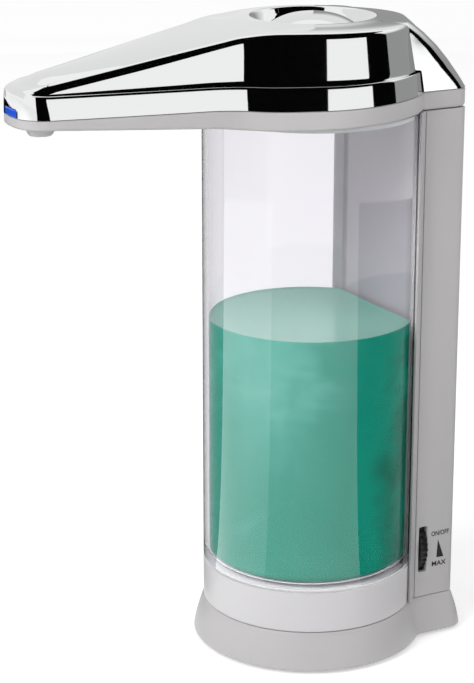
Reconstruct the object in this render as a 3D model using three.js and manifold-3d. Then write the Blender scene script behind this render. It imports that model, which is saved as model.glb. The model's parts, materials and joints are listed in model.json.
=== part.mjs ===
// Automatic soap dispenser: a flared base, a clear tank in front of a battery column, and a long head
// with a chrome cover, a fill cap and a drop nozzle. Millimetres, +Z up, the spout points towards -Y.
import * as THREE from "three";
import { mergeVertices } from "three/addons/utils/BufferGeometryUtils.js";
import Module from "manifold-3d";

const wasm = await Module();
wasm.setup();

// Shared clearances
const gap = 0.3;
const overrun = 1;
const fine = 24;
const coarse = 10;

// Tank: a clear D-shaped jar with its flat side against the column
const tankRadius = 42.5;
const tankWall = 2.2;
const tankFloor = 3;
const tankFillet = 8;
const tankHeight = 184.4;
const soapDepth = 98.7;

// Column behind the tank
const columnHalf = 28;
const columnDepth = 18.73;
const columnCorner = 3;
const columnWall = 2;
const panelThickness = 2;
const earWrap = 2.5;
const earThickness = 1.1;

// Heights of the stack
const footHeight = 1;
const skirtHeight = 14.7;
const collarHeight = 16.5;
const deckThickness = 2.2;

// Base
const skirtFlare = 4;
const skirtSideFlare = 3.5;
const flarePower = 1.4;
const skirtWall = 2.6;
const skirtFlange = 2.4;
const skirtEdgeRound = 0.5;
const plateThickness = 2;
const plateRebate = 1.2;
const footRadius = 5;
const footPocket = 0.7;
const frontFootInset = 10;
const frontFootAngles = [240, 300];
const rearFootHalf = 19;
const rearFootInset = 10;
const bossRadius = 3.2;
const bossInset = 6;
const bossAngles = [30, 150, 215, 325];
const rearBossHalf = 17;
const rearBossInset = 7.3;
const rearBossHeight = 11;
const screwHeadRadius = 2.8;
const screwHeadHeight = 1.4;
const screwRadius = 1.3;
const screwGrip = 8;
const socketRadius = 1.2;
const socketDepth = 0.8;
const collarWall = 2.2;

// Head tray and chrome cover, as one plan outline
const headMargin = 0.9;
const headHalfMargin = 0.3;
const headBackMargin = 0.6;
const headCorner = 5;
const noseReach = 126;
const noseHalf = 8.5;
const noseBow = 0.6;
const noseCornerLength = 1;
const crownDrop = 17.1;
const spoutTipHalf = 14.2;
const spoutTipLength = 8;
const spoutRootInset = 14.3;
const spoutRootOverlap = 6;
const spoutBulge = 0.5;
const rootAngle = -45.4;
const trayHeight = 7;
const trayFloor = 2.2;
const trayWall = 2;
const trayRise = 3.3;
const trayRiseGap = 2.5;
const trayEdge = 1.2;
const coverRidge = 8.4;
const coverLedge = 1.5;
const shoulderRise = 25.8;
const shoulderSlope = 0.191;
const shoulderInset = 6.1;
const domeRise = 3.6;
const coverWall = 2;
const noseRise = 10.6;
const noseRoll = 3.4;
const backArcRadius = 71.2;
const backArcDrop = 33.5;
const ledgeInset = 3.5;
const bandInset = 1;
const backCrown = 7.2;
const backCrownPower = 1.5;

// Filler, its cap and its seal
const rimRadius = 24.3;
const dishDepth = 6.6;
const dishRadius = 18.6;
const fillerBore = 13.3;
const fillerWall = 2;
const fillerFlange = 18;
const fillerFlangeThickness = 1.5;
const fillerDepth = 2;
const capRadius = 18.4;
const capRise = 5.3;
const capEdge = 2.2;
const capPower = 2.4;
const capPlugRadius = 11.4;
const capPlugWall = 2;
const capPlugDepth = 9.1;
const capLipRadius = 12.4;
const capLipThickness = 1.2;
const sealRadius = 13;
const sealHeight = 3.6;

// Tank top seal
const sealOuterInset = 0.3;
const topSealThickness = 1.4;
const topSealHeight = 3;
const trayLipDepth = 4;
const trayLipThickness = 1.8;

// Nozzle, sensor and indicator in the spout
const nozzleSetback = 13;
const nozzleRadius = 5.4;
const nozzleDrop = 1.2;
const nozzleBore = 3.4;
const nozzleFlange = 7;
const nozzleFlangeThickness = 1.5;
const nozzleSpigot = 2.2;
const nozzleSpigotHeight = 3.6;
const valveRadius = 3.1;
const valveInset = 0.5;
const slitDepth = 0.6;
const sensorSetback = 34;
const sensorLength = 16;
const sensorWidth = 10;
const sensorCorner = 2;
const boardThickness = 1.2;
const sensorBoardHalf = 9;
const sensorBoardLength = 26;
const sensorBoardLift = 8.2;
const ledRadius = 1.5;
const ledHeight = 3;
const ledSpacing = 8;
const lampTipShare = 0.7;
const indicatorHalf = 7;
const indicatorHeight = 3.2;
const indicatorDepth = 3;

// Battery door, tray and cells
const doorHalf = 16.7;
const doorLift = 44;
const doorHeight = 110;
const doorThickness = 2;
const doorCorner = 2.5;
const thumbRadius = 6;
const thumbDepth = 0.9;
const cellRadius = 7.1;
const cellLength = 50.3;
const cellSpacing = 15.2;
const cellButtonRadius = 2.7;
const cellButtonHeight = 1;
const cellTrayWall = 1.2;
const cellTrayFloor = 1.4;
const linkThickness = 0.5;
const springWire = 0.8;
const springRadius = 3.4;
const springTurns = 3;

// Volume dial on the column's side
const dialRadius = 13;
const dialThickness = 3.2;
const dialProud = 1.8;
const dialLift = 20.5;
const dialSetback = 3.5;
const dialTeeth = 32;
const dialToothDepth = 0.45;
const dialHub = 3;
const potLength = 4.6;
const potSide = 10;

// Control board behind the dial
const controlBoardHeight = 28;
const controlBoardThickness = 1.6;
const controlBoardSetback = 7;
const controlBoardLeft = -12;
const controlBoardInset = 3;
const standoffRadius = 2.2;

// Pump and motor under the tank
const gearTeeth = 10;
const gearPitchRadius = 5;
const gearRootShare = 0.76;
const gearTipShare = 1.18;
const meshEase = 0.3;
const gearWidth = 5;
const gearBacklash = 0.25;
const chamberClearance = 0.4;
const pumpShaftRadius = 1;
const pumpLift = 9.8;
const pumpWall = 2.8;
const pumpDepth = 8.4;
const portSetback = 3;
const pumpCoverThickness = 2.5;
const inletRadius = 2.4;
const inletBore = 1.2;
const outletLength = 3.2;
const motorRadius = 10;
const motorFlat = 7.5;
const motorLength = 22.8;
const motorGap = 0.8;
const motorSetback = 7;
const cradleWall = 2;

// Tubes and cable
const tubeRadius = 2;
const tubeFrontInset = 5;
const cableRadius = 0.9;

// Places that follow from the values
const skirtTop = footHeight + skirtHeight;
const collarBottom = skirtTop + gap;
const collarTop = collarBottom + collarHeight;
const tankBottom = collarTop + gap;
const tankTop = tankBottom + tankHeight;
const headBottom = tankTop + gap;
const trayTop = headBottom + trayHeight;
const coverBottom = trayTop + gap;
const shoulderZ = coverBottom + shoulderRise;
const rimZ = shoulderZ + domeRise * (1 - (rimRadius / (tankRadius + headMargin - shoulderInset)) ** 2);
const dishZ = rimZ - dishDepth;
const tankBack = Math.sqrt(tankRadius ** 2 - columnHalf ** 2);
const panelFront = tankBack + gap;
const shellFront = panelFront + panelThickness + gap;
const columnBack = shellFront + columnDepth;
const plateTop = footHeight + plateThickness;
const pumpBottom = plateTop + gap;
const pumpZ = pumpBottom + pumpLift;
const motorRear = tankBack - motorSetback;
const motorFront = motorRear - motorLength;
const pumpBack = motorFront - motorGap;
const pumpFront = pumpBack - pumpDepth;
const headRadius = tankRadius + headMargin;
const headHalf = columnHalf + headHalfMargin;
const headBack = columnBack + headBackMargin;
const spoutTipY = spoutTipLength - noseReach;
const noseCornerY = noseCornerLength - noseReach;
const spoutRootHalf = headRadius - spoutRootInset;
const spoutRootY = spoutRootOverlap - tankRadius;
const shoulderBreak = spoutRootY;
const trayRiseStart = -tankRadius - trayRiseGap;
const backArcY = headBack - Math.sqrt(backArcRadius ** 2 - backArcDrop ** 2);
const nozzleY = nozzleSetback - noseReach;
const sensorY = sensorSetback - noseReach;
const doorBottom = collarBottom + doorLift;
const dialZ = collarBottom + dialLift;
const dialY = shellFront + dialSetback;
const controlBoardY = columnBack - controlBoardSetback;
const controlBoardRight = columnHalf - controlBoardInset;
const cellTrayHalf = doorHalf - gap;
const besideTray = (cellTrayHalf + columnHalf - columnWall) / 2;
const tubeRiseX = -besideTray;
const tubeRiseY = shellFront + tubeFrontInset;
const cableX = besideTray;
const cableY = controlBoardY - gap;
const rowShift = (noseReach - columnBack - skirtFlare) / 2;

// Outlines, seen from above
const arc = (x, y, radius, from, to, steps) =>
  Array.from({ length: steps + 1 }, (_, i) => {
    const angle = from + ((to - from) * i) / steps;
    return [x + radius * Math.cos(angle), y + radius * Math.sin(angle)];
  });
const degrees = (angle) => (angle * Math.PI) / 180;
const mirrored = (half) => [...half, ...half.map(([x, y]) => [-x, y]).reverse()];
const circle = (radius, steps = fine, x = 0, y = 0) => arc(x, y, radius, 0, 2 * Math.PI, steps).slice(0, -1);
const rectangle = (x0, x1, y0, y1) => [[x0, y0], [x1, y0], [x1, y1], [x0, y1]];

function roundedRectangle(x0, x1, y0, y1, radius, steps = 4) {
  const quarter = Math.PI / 2;
  return [
    ...arc(x1 - radius, y0 + radius, radius, -quarter, 0, steps),
    ...arc(x1 - radius, y1 - radius, radius, 0, quarter, steps),
    ...arc(x0 + radius, y1 - radius, radius, quarter, 2 * quarter, steps),
    ...arc(x0 + radius, y0 + radius, radius, 2 * quarter, 3 * quarter, steps),
  ];
}

// A circle whose back is cut flat
function flatBacked(radius, flatY, steps = 30) {
  const end = Math.asin(flatY / radius);
  return arc(0, 0, radius, -Math.PI - end, end, steps);
}

// A circle with a square block behind it, blended into each other at the sides
function keyhole({ radius, half, back, corner, blend }) {
  const meetY = Math.sqrt((radius + blend) ** 2 - (half + blend) ** 2);
  const meet = Math.atan2(meetY, half + blend);
  return mirrored([
    ...arc(0, 0, radius, -Math.PI / 2 + (meet + Math.PI / 2) / 29, meet, 14),
    ...arc(half + blend, meetY, blend, meet + Math.PI, Math.PI, 3).slice(1),
    ...arc(half - corner, back - corner, corner, 0, Math.PI / 2, 4),
  ]);
}

// Solids: every shape is made with three.js, and only joined and cut as a manifold
function solid(geometry) {
  const bare = geometry.index ? geometry.clone() : geometry;
  bare.deleteAttribute("normal");
  bare.deleteAttribute("uv");
  const merged = mergeVertices(bare, 1e-5);
  const places = merged.attributes.position.array;
  const corners = Array.from(merged.index.array);
  const vertex = (i) => new THREE.Vector3().fromArray(places, 3 * i);
  let volume = 0;
  for (let i = 0; i < corners.length; i += 3) {
    volume += vertex(corners[i]).dot(vertex(corners[i + 1]).cross(vertex(corners[i + 2])));
  }
  if (volume < 0) corners.reverse();
  return new wasm.Manifold(new wasm.Mesh({
    numProp: 3,
    vertProperties: new Float32Array(places),
    triVerts: new Uint32Array(corners),
  }));
}

function surface(manifold) {
  const mesh = manifold.getMesh();
  const geometry = new THREE.BufferGeometry();
  geometry.setAttribute("position", new THREE.BufferAttribute(new Float32Array(mesh.vertProperties), 3));
  geometry.setIndex(new THREE.BufferAttribute(new Uint32Array(mesh.triVerts), 1));
  const hard = geometry.toNonIndexed();
  hard.computeVertexNormals();
  return hard;
}

const join = (...solids) => solids.reduce((whole, next) => whole.add(next));
const cut = (whole, ...tools) => tools.reduce((rest, tool) => rest.subtract(tool), whole);
const moved = (whole, x, y, z) => whole.translate([x, y, z]);

function shapeOf(outline, holes = []) {
  const shape = new THREE.Shape(outline.map(([x, y]) => new THREE.Vector2(x, y)));
  for (const hole of holes) shape.holes.push(new THREE.Path(hole.map(([x, y]) => new THREE.Vector2(x, y))));
  return shape;
}

// Straight up from z0 to z1
function prism(outline, z0, z1, holes = []) {
  const geometry = new THREE.ExtrudeGeometry(shapeOf(outline, holes), {
    depth: z1 - z0,
    bevelEnabled: false,
    steps: 1,
  });
  geometry.translate(0, 0, z0);
  return solid(geometry);
}

// Along Y from y0 to y1, with the outline given as [x, z]
function prismY(outline, y0, y1, holes = []) {
  const geometry = new THREE.ExtrudeGeometry(shapeOf(outline, holes), {
    depth: y1 - y0,
    bevelEnabled: false,
    steps: 1,
  });
  geometry.rotateX(Math.PI / 2);
  geometry.translate(0, y1, 0);
  return solid(geometry);
}

const block = (x0, x1, y0, y1, z0, z1) => prism(rectangle(x0, x1, y0, y1), z0, z1);
const post = (radius, z0, z1, x = 0, y = 0, steps = coarse) => prism(circle(radius, steps, x, y), z0, z1);
const pin = (radius, y0, y1, x = 0, z = 0, steps = coarse) => prismY(circle(radius, steps, x, z), y0, y1);

// Turned about Z, with the profile given as [radius, z]
function turned(profile, steps = fine) {
  const points = profile.map(([radius, z]) => new THREE.Vector2(radius, z));
  const geometry = new THREE.LatheGeometry(points, steps);
  geometry.rotateX(Math.PI / 2);
  return solid(geometry);
}

// A skin through rings of equally many points: closed at both ends, or on itself as a wall
function skin(rings, onItself = false) {
  const count = rings[0].length;
  const positions = rings.flat(2);
  const faces = [];
  const bands = onItself ? rings.length : rings.length - 1;
  for (let k = 0; k < bands; k += 1) {
    const low = k * count;
    const high = ((k + 1) % rings.length) * count;
    for (let i = 0; i < count; i += 1) {
      const j = (i + 1) % count;
      faces.push(low + i, low + j, high + j, low + i, high + j, high + i);
    }
  }
  if (!onItself) {
    const flat = (ring) => ring.map(([x, y]) => new THREE.Vector2(x, y));
    const last = (rings.length - 1) * count;
    for (const [a, b, c] of THREE.ShapeUtils.triangulateShape(flat(rings[0]), [])) faces.push(c, b, a);
    for (const [a, b, c] of THREE.ShapeUtils.triangulateShape(flat(rings.at(-1)), [])) {
      faces.push(last + a, last + b, last + c);
    }
  }
  const geometry = new THREE.BufferGeometry();
  geometry.setAttribute("position", new THREE.Float32BufferAttribute(positions, 3));
  geometry.setIndex(faces);
  return solid(geometry);
}

const at = (outline, z) => outline.map(([x, y]) => [x, y, z]);
const stack = (levels) => skin(levels.map(([outline, z]) => at(outline, z)));

// A round tube along a curve, with rings that stay square to it
function sweep(curve, radius, steps, sides = 8) {
  const centres = curve.getPoints(steps);
  const rings = [];
  let across = new THREE.Vector3();
  centres.forEach((centre, k) => {
    const before = centres[Math.max(0, k - 1)];
    const after = centres[Math.min(steps, k + 1)];
    const along = after.clone().sub(before).normalize();
    if (k === 0) across.set(along.z, along.x, along.y).cross(along);
    across = across.clone().addScaledVector(along, -across.dot(along)).normalize();
    const up = along.clone().cross(across);
    rings.push(arc(0, 0, radius, 0, 2 * Math.PI, sides).slice(0, -1).map(([u, v]) =>
      centre.clone().addScaledVector(across, u).addScaledVector(up, v).toArray()));
  });
  const faces = [];
  for (let k = 0; k < steps; k += 1) {
    for (let i = 0; i < sides; i += 1) {
      const [low, high, j] = [k * sides, (k + 1) * sides, (i + 1) % sides];
      faces.push(low + i, low + j, high + j, low + i, high + j, high + i);
    }
  }
  for (let i = 1; i < sides - 1; i += 1) {
    faces.push(0, i + 1, i, steps * sides, steps * sides + i, steps * sides + i + 1);
  }
  const geometry = new THREE.BufferGeometry();
  geometry.setAttribute("position", new THREE.Float32BufferAttribute(rings.flat(2), 3));
  geometry.setIndex(faces);
  return solid(geometry);
}
const routed = (points, radius, steps) => sweep(
  new THREE.CatmullRomCurve3(points.map((point) => new THREE.Vector3(...point)), false, "centripetal"),
  radius,
  steps,
);

// Finishes
const finish = (color, roughness, metalness = 0, extra = {}) =>
  new THREE.MeshStandardMaterial({ color, roughness, metalness, ...extra });
const greyPlastic = finish(0xb8b6b6, 0.5);
const palePlastic = finish(0xd8d6d8, 0.45);
const blackPlastic = finish(0x1b1b1c, 0.5);
const whitePlastic = finish(0xe4e3e0, 0.5);
const chrome = finish(0xdedfe1, 0.08, 1);
const clearPlastic = finish(0xf2f0f6, 0.05, 0, { transparent: true, opacity: 0.25 });
const soapGreen = finish(0x2f9a86, 0.2);
const rubber = finish(0x2a2a2b, 0.9);
const steel = finish(0xb4b6b8, 0.3, 1);
const boardGreen = finish(0x1f5a38, 0.6);
const smokedPlastic = finish(0x23141a, 0.1);
const blueLens = finish(0x1f56d8, 0.15);
const siliconeClear = finish(0xe9ece9, 0.4, 0, { transparent: true, opacity: 0.6 });
const cellJacket = finish(0x8f9396, 0.35, 0.9);
const brass = finish(0xb9975a, 0.3, 1);

const dispenser = new THREE.Group();
const row = new THREE.Group();
row.position.y = rowShift;
dispenser.add(row);

function piece(name, whole, material, x = 0, y = 0, z = 0) {
  const mesh = new THREE.Mesh(surface(whole), material);
  mesh.name = name;
  mesh.position.set(x, y, z);
  row.add(mesh);
}

// Base: the flared skirt with a flange for the collar, closed from below by the base plate
const skirtBlend = 1.5;
const baseOutline = (grow, side = grow) => keyhole({
  radius: tankRadius + grow,
  half: columnHalf + side,
  back: columnBack + grow,
  corner: columnCorner + Math.max(side, 0),
  blend: skirtBlend + Math.max(grow, 0),
});
const flareAt = (share) => 1 - (1 - share) ** flarePower;
const flared = (share, inset) =>
  baseOutline(skirtFlare * flareAt(share) - inset, skirtSideFlare * flareAt(share) - inset);
const skirtLevels = 3;
const midShare = 0.5;
const flangeShare = 0.2;

function baseSkirt() {
  const outer = [[flared(1, skirtEdgeRound), footHeight]];
  for (let i = 0; i <= skirtLevels; i += 1) {
    const share = 1 - i / skirtLevels;
    const lift = i === 0 ? skirtEdgeRound : skirtHeight * (1 - share);
    outer.push([flared(share, 0), footHeight + lift]);
  }
  const step = plateTop + gap;
  const stepShare = 1 - (step - footHeight) / skirtHeight;
  const flangeBottom = skirtTop - skirtFlange;
  const cavity = stack([
    [flared(stepShare, skirtWall), step - gap],
    [flared(midShare, skirtWall), (step + flangeBottom) / 2],
    [flared(flangeShare, skirtWall), flangeBottom],
  ]);
  const rebate = prism(flared(stepShare, skirtWall - plateRebate), footHeight - overrun, step);
  const opening = prism(baseOutline(-skirtWall - 2 * gap), flangeBottom - overrun, skirtTop + overrun);
  return cut(stack(outer), cavity, rebate, opening);
}

const plateOutline = flared(1 - (plateTop + gap - footHeight) / skirtHeight, skirtWall - plateRebate + gap);
const bosses = [
  ...bossAngles.map((angle) => {
    const reach = tankRadius - bossInset - bossRadius / 2;
    return [reach * Math.cos(degrees(angle)), reach * Math.sin(degrees(angle))];
  }),
  [rearBossHalf, columnBack - rearBossInset],
  [-rearBossHalf, columnBack - rearBossInset],
];
const feet = [
  ...frontFootAngles.map((angle) => {
    const reach = tankRadius - frontFootInset;
    return [reach * Math.cos(degrees(angle)), reach * Math.sin(degrees(angle))];
  }),
  [rearFootHalf, columnBack - 2 * rearFootInset],
  [-rearFootHalf, columnBack - 2 * rearFootInset],
];

function basePlate() {
  let plate = prism(plateOutline, footHeight, plateTop);
  for (const [x, y] of feet) {
    plate = cut(plate, post(footRadius + gap, 0, footHeight + footPocket + gap, x, y, 12));
  }
  for (const [x, y] of bosses) {
    plate = cut(
      plate,
      post(screwRadius + gap, 0, plateTop + overrun, x, y),
      post(screwHeadRadius + gap, 0, footHeight + screwHeadHeight, x, y),
    );
  }
  return plate;
}

const foot = () => turned([
  [0, 0],
  [footRadius - footPocket, 0],
  [footRadius, footPocket],
  [footRadius, footHeight + footPocket],
  [0, footHeight + footPocket],
], 16);

// A screw standing head down, with a hex socket, reaching `grip` above its head
function screw(grip) {
  const body = turned([
    [0, 0],
    [screwHeadRadius, 0],
    [screwHeadRadius, screwHeadHeight - gap],
    [screwRadius, screwHeadHeight - gap],
    [screwRadius, screwHeadHeight + grip - screwRadius],
    [screwRadius / 2, screwHeadHeight + grip],
    [0, screwHeadHeight + grip],
  ], 8);
  return cut(body, post(socketRadius, -overrun, socketDepth, 0, 0, 6));
}

piece("base_skirt", baseSkirt(), greyPlastic);
piece("base_plate", basePlate(), greyPlastic);
feet.forEach(([x, y], i) => piece(`rubber_foot_${i + 1}`, foot(), rubber, x, y, 0));
bosses.forEach(([x, y], i) => piece(`base_screw_${i + 1}`, screw(screwGrip), steel, x, y, footHeight));

// Collar: the pale ring under the tank, with four hanging screw bosses and a bore for the outlet
const outletX = -gearPitchRadius - meshEase / 2;
const outletY = pumpFront + portSetback;
const outletBore = inletRadius + 2 * gap;
const pilot = (x, y, z0, z1) => post(screwRadius + gap / 3, z0, z1, x, y);

function tankCollar() {
  const outline = flatBacked(tankRadius, tankBack);
  const hollow = flatBacked(tankRadius - collarWall, tankBack - collarWall);
  const deckBottom = collarTop - deckThickness;
  let collar = cut(
    prism(outline, collarBottom, collarTop),
    prism(hollow, collarBottom - overrun, deckBottom),
  );
  for (const [x, y] of bosses.slice(0, bossAngles.length)) {
    collar = join(collar, post(bossRadius, plateTop + gap, deckBottom + gap, x, y));
    collar = cut(collar, pilot(x, y, plateTop, plateTop + screwGrip + overrun));
  }
  const hole = post(outletBore + overrun, deckBottom - overrun, collarTop + overrun, outletX, outletY, 20);
  return cut(collar, hole);
}

// Tank: clear D jar with a rounded inside bottom, its soap, and the outlet through its floor
const flangeRadius = 6;
const flangeThickness = 1.4;
const spigotLength = 2.4;

function filledD(inset, z0, z1, fillet, steps = 30) {
  const levels = [];
  const turns = 4;
  for (let i = 0; i <= turns; i += 1) {
    const angle = (Math.PI / 2) * (i / turns);
    const drawn = fillet * (1 - Math.sin(angle));
    const outline = flatBacked(tankRadius - inset - drawn, tankBack - inset - drawn, steps);
    levels.push([outline, z0 + fillet * (1 - Math.cos(angle))]);
  }
  levels.push([flatBacked(tankRadius - inset, tankBack - inset, steps), z1]);
  return stack(levels);
}

function tankShell() {
  const outside = filledD(0, tankBottom, tankTop, tankFloor);
  const inside = filledD(tankWall, tankBottom + tankFloor, tankTop + overrun, tankFillet);
  const bore = post(outletBore, tankBottom - overrun, tankBottom + tankFloor + overrun, outletX, outletY);
  return cut(outside, inside, bore);
}

const soapBottom = tankBottom + tankFloor + gap;
const soapBody = () => cut(
  filledD(tankWall + gap, soapBottom, soapBottom + soapDepth, tankFillet),
  post(flangeRadius + gap, soapBottom - overrun, soapBottom + flangeThickness + gap, outletX, outletY, 24),
);

const spigotBottom = tankBottom - flangeThickness - spigotLength;
const outletFitting = () => cut(
  turned([
    [0, spigotBottom],
    [outletBore - gap, spigotBottom],
    [outletBore - gap, soapBottom],
    [flangeRadius, soapBottom],
    [flangeRadius, soapBottom + flangeThickness],
    [0, soapBottom + flangeThickness],
  ], 24),
  post(inletBore, spigotBottom - overrun, soapBottom + flangeThickness + overrun),
);

const pumpTop = 2 * pumpZ - pumpBottom;
const nippleTop = pumpTop + inletRadius + gap;
const suctionTube = () => prism(
  circle(inletRadius, 20, outletX, outletY),
  nippleTop + gap,
  spigotBottom - gap,
  [circle(inletBore, 12, outletX, outletY).reverse()],
);

piece("tank_collar", tankCollar(), palePlastic);
piece("tank", tankShell(), clearPlastic);
piece("liquid_soap", soapBody(), soapGreen);
piece("tank_outlet", outletFitting(), whitePlastic, outletX, outletY);
piece("suction_tube", suctionTube(), siliconeClear);

// Tank top seal: a D ring that hangs on the head's lip inside the jar's mouth
const sealOuter = tankWall + sealOuterInset;
const sealInner = sealOuter + topSealThickness;
const lipOuter = sealInner + gap;
const insetD = (inset, steps = 30) => flatBacked(tankRadius - inset, tankBack - inset, steps);
const sealTop = headBottom - overrun;
const topSeal = prism(insetD(sealOuter), sealTop - topSealHeight, sealTop, [insetD(sealInner).reverse()]);
piece("tank_top_seal", topSeal, siliconeClear);

// Column: a front panel whose ears wrap the jar's corners, and a rear shell
function columnFrontPanel() {
  const inner = tankRadius + gap;
  const outer = inner + earThickness;
  const earFront = tankBack - earWrap;
  const flatEnd = Math.asin(panelFront / inner);
  const earEnd = Math.asin(earFront / outer);
  const shoulder = Math.acos(columnHalf / outer);
  const right = [
    ...arc(0, 0, inner, flatEnd, Math.asin(earFront / inner), 4),
    ...arc(0, 0, outer, earEnd, shoulder, 4),
    [columnHalf, panelFront + panelThickness],
  ];
  return prism(mirrored(right), collarBottom, tankTop);
}

const shellTop = tankTop;
const doorZ0 = doorBottom;
const doorZ1 = doorBottom + doorHeight;
const dialX = columnHalf + dialProud - dialRadius;
const dialSlotHalf = Math.sqrt(dialRadius ** 2 - (columnHalf - dialX - columnWall) ** 2) + 2 * gap;

const rearBossTop = collarBottom + rearBossHeight;
const bossWeb = (x, y, z0, z1) =>
  block(x - bossRadius / 2, x + bossRadius / 2, y, columnBack - columnWall / 2, z0, z1);

function columnRearShell() {
  const outline = (inset) => {
    const half = columnHalf - inset;
    const back = columnBack - inset;
    const corner = Math.max(columnCorner - inset, columnCorner / 3);
    return mirrored([
      [half, shellFront],
      ...arc(half - corner, back - corner, corner, 0, Math.PI / 2, 5),
    ]);
  };
  const inner = outline(columnWall).map(([x, y]) => [x, y === shellFront ? shellFront - overrun : y]);
  const hollow = prism(inner, collarBottom - overrun, shellTop + overrun);
  let shell = cut(prism(outline(0), collarBottom, shellTop), hollow);
  const opening = prismY(
    roundedRectangle(-doorHalf - gap, doorHalf + gap, doorZ0 - gap, doorZ1 + gap, doorCorner + gap),
    columnBack - columnWall - overrun,
    columnBack + overrun,
  );
  const slot = block(
    columnHalf - columnWall - overrun,
    columnHalf + overrun,
    dialY - dialThickness / 2 - gap,
    dialY + dialThickness / 2 + gap,
    dialZ - dialSlotHalf,
    dialZ + dialSlotHalf,
  );
  shell = cut(shell, opening, slot);
  for (const [x, y] of bosses.slice(bossAngles.length)) {
    const boss = post(bossRadius, collarBottom, rearBossTop, x, y);
    const web = bossWeb(x, y, collarBottom, rearBossTop);
    shell = cut(join(shell, boss, web), pilot(x, y, collarBottom - overrun, rearBossTop - columnWall));
  }
  for (const x of [-headBossHalf, headBossHalf]) {
    const boss = post(bossRadius, shellTop - headBossDepth, shellTop, x, headBossY);
    const web = bossWeb(x, headBossY, shellTop - headBossDepth, shellTop);
    const hole = pilot(x, headBossY, shellTop - headBossDepth + columnWall, shellTop + overrun);
    shell = cut(join(shell, boss, web), hole);
  }
  for (const z of standoffLevels) {
    const face = controlBoardY + controlBoardThickness / 2 + gap;
    for (const x of standoffPlaces) {
      shell = join(shell, pin(standoffRadius, face, columnBack - columnWall / 2, x, z));
    }
  }
  return shell;
}

const headBossHalf = doorHalf - 2 * bossRadius + overrun;
const headBossY = columnBack - rearBossInset;
const headBossDepth = rearBossHeight;
const boardBottom = dialZ - controlBoardHeight / 4;
const boardTop = boardBottom + controlBoardHeight;
const standoffLevels = [boardBottom + 2 * standoffRadius, boardTop - 2 * standoffRadius];
const standoffPlaces = [controlBoardLeft + 2 * standoffRadius, controlBoardRight - 3 * standoffRadius];

piece("column_front_panel", columnFrontPanel(), greyPlastic);
piece("column_rear_shell", columnRearShell(), greyPlastic);

// Head: one plan for the tray and the cover, drawn in by an inset that may change along the spout
const mix = (a, b, share) => a + (b - a) * share;
const curve2 = (a, b, c, t) =>
  [0, 1].map((i) => (1 - t) ** 2 * a[i] + 2 * t * (1 - t) * b[i] + t ** 2 * c[i]);
const rootShiftShare = 0.4;
const rootMeetShares = [0.45, 0.55];
const noseSteps = 2;
const cornerSteps = 3;
const spoutSteps = 5;
const circleSteps = 8;
const midStep = 0.5;
const rearSteps = 2;

function headRing({ circleInset, spoutInset, noseInset, sideInset = 0, back, crown = 0, z, spoutZ, noseZ }) {
  const half = headHalf - sideInset;
  const radius = headRadius - circleInset;
  const right = [];
  const nose = (x0, y0) => {
    const share = (spoutTipY - y0) / (spoutTipY + noseReach);
    const narrowed = mix(spoutInset(y0), noseInset, share);
    const soft = share * share * (3 - 2 * share);
    right.push([x0 * (1 - narrowed / spoutTipHalf), y0 + noseInset * share, mix(spoutZ(y0), noseZ, soft)]);
  };
  for (let i = 0; i < noseSteps; i += 1) {
    const x = (noseHalf * (i + midStep)) / noseSteps;
    nose(x, -noseReach + noseBow * (x / noseHalf) ** 2);
  }
  for (let i = 0; i < cornerSteps; i += 1) {
    const [from, to] = [[noseHalf, -noseReach + noseBow], [spoutTipHalf, spoutTipY]];
    nose(...curve2(from, [spoutTipHalf - noseBow, noseCornerY], to, (i + midStep) / cornerSteps));
  }
  const rootInset = spoutInset(spoutRootY);
  for (let i = 0; i <= spoutSteps; i += 1) {
    const share = i / spoutSteps;
    const y = mix(spoutTipY, spoutRootY, share);
    const bulge = 4 * spoutBulge * share * (1 - share);
    const x = mix(spoutTipHalf, spoutRootHalf, share) + bulge - spoutInset(y);
    right.push([x, y + rootInset * rootShiftShare * share, spoutZ(y)]);
  }
  const start = degrees(rootAngle);
  const end = Math.asin(Math.sqrt(radius ** 2 - half ** 2) / radius);
  const arcStart = [radius * Math.cos(start), radius * Math.sin(start)];
  const root = right.at(-1);
  right.push([mix(root[0], arcStart[0], rootMeetShares[0]), mix(root[1], arcStart[1], rootMeetShares[1]), z]);
  right.push(...at(arc(0, 0, radius, start, end, circleSteps), z));
  right.push(...at(arc(half - headCorner, back - headCorner, headCorner, 0, Math.PI / 2, cornerSteps), z));
  for (let i = 0; i < rearSteps; i += 1) {
    const share = 1 - (i + 1) / (rearSteps + midStep);
    right.push([(half - headCorner) * share, back + crown * (1 - share ** 2), z]);
  }
  return [...right, ...right.map(([x, y, height]) => [-x, y, height]).reverse()];
}

const shoulderAt = (y) => shoulderZ - shoulderSlope * Math.max(0, shoulderBreak - y);
const backAt = (z) => backArcY + Math.sqrt(backArcRadius ** 2 - (z - coverBottom + backArcDrop) ** 2);
const crownAt = (z) => backCrown * (Math.max(0, z - coverBottom) / shoulderRise) ** backCrownPower;

// Outer wall of the cover: a plain band, a ledge, and a wall up to the shoulder
const bandShares = [0, 0.88, 1];
const wallShares = [0.5, 0.88, 1];
const noseLevelShares = [
  [0, 0], [0.5, 0.03], [0.68, 0.08], [0.8, 0.18], [0.9, 0.38], [0.97, 0.68], [1, 1],
];
const bandInsets = [0, bandInset, ledgeInset - gap];
const ledgeTop = coverBottom + coverRidge + coverLedge / 2;

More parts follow.
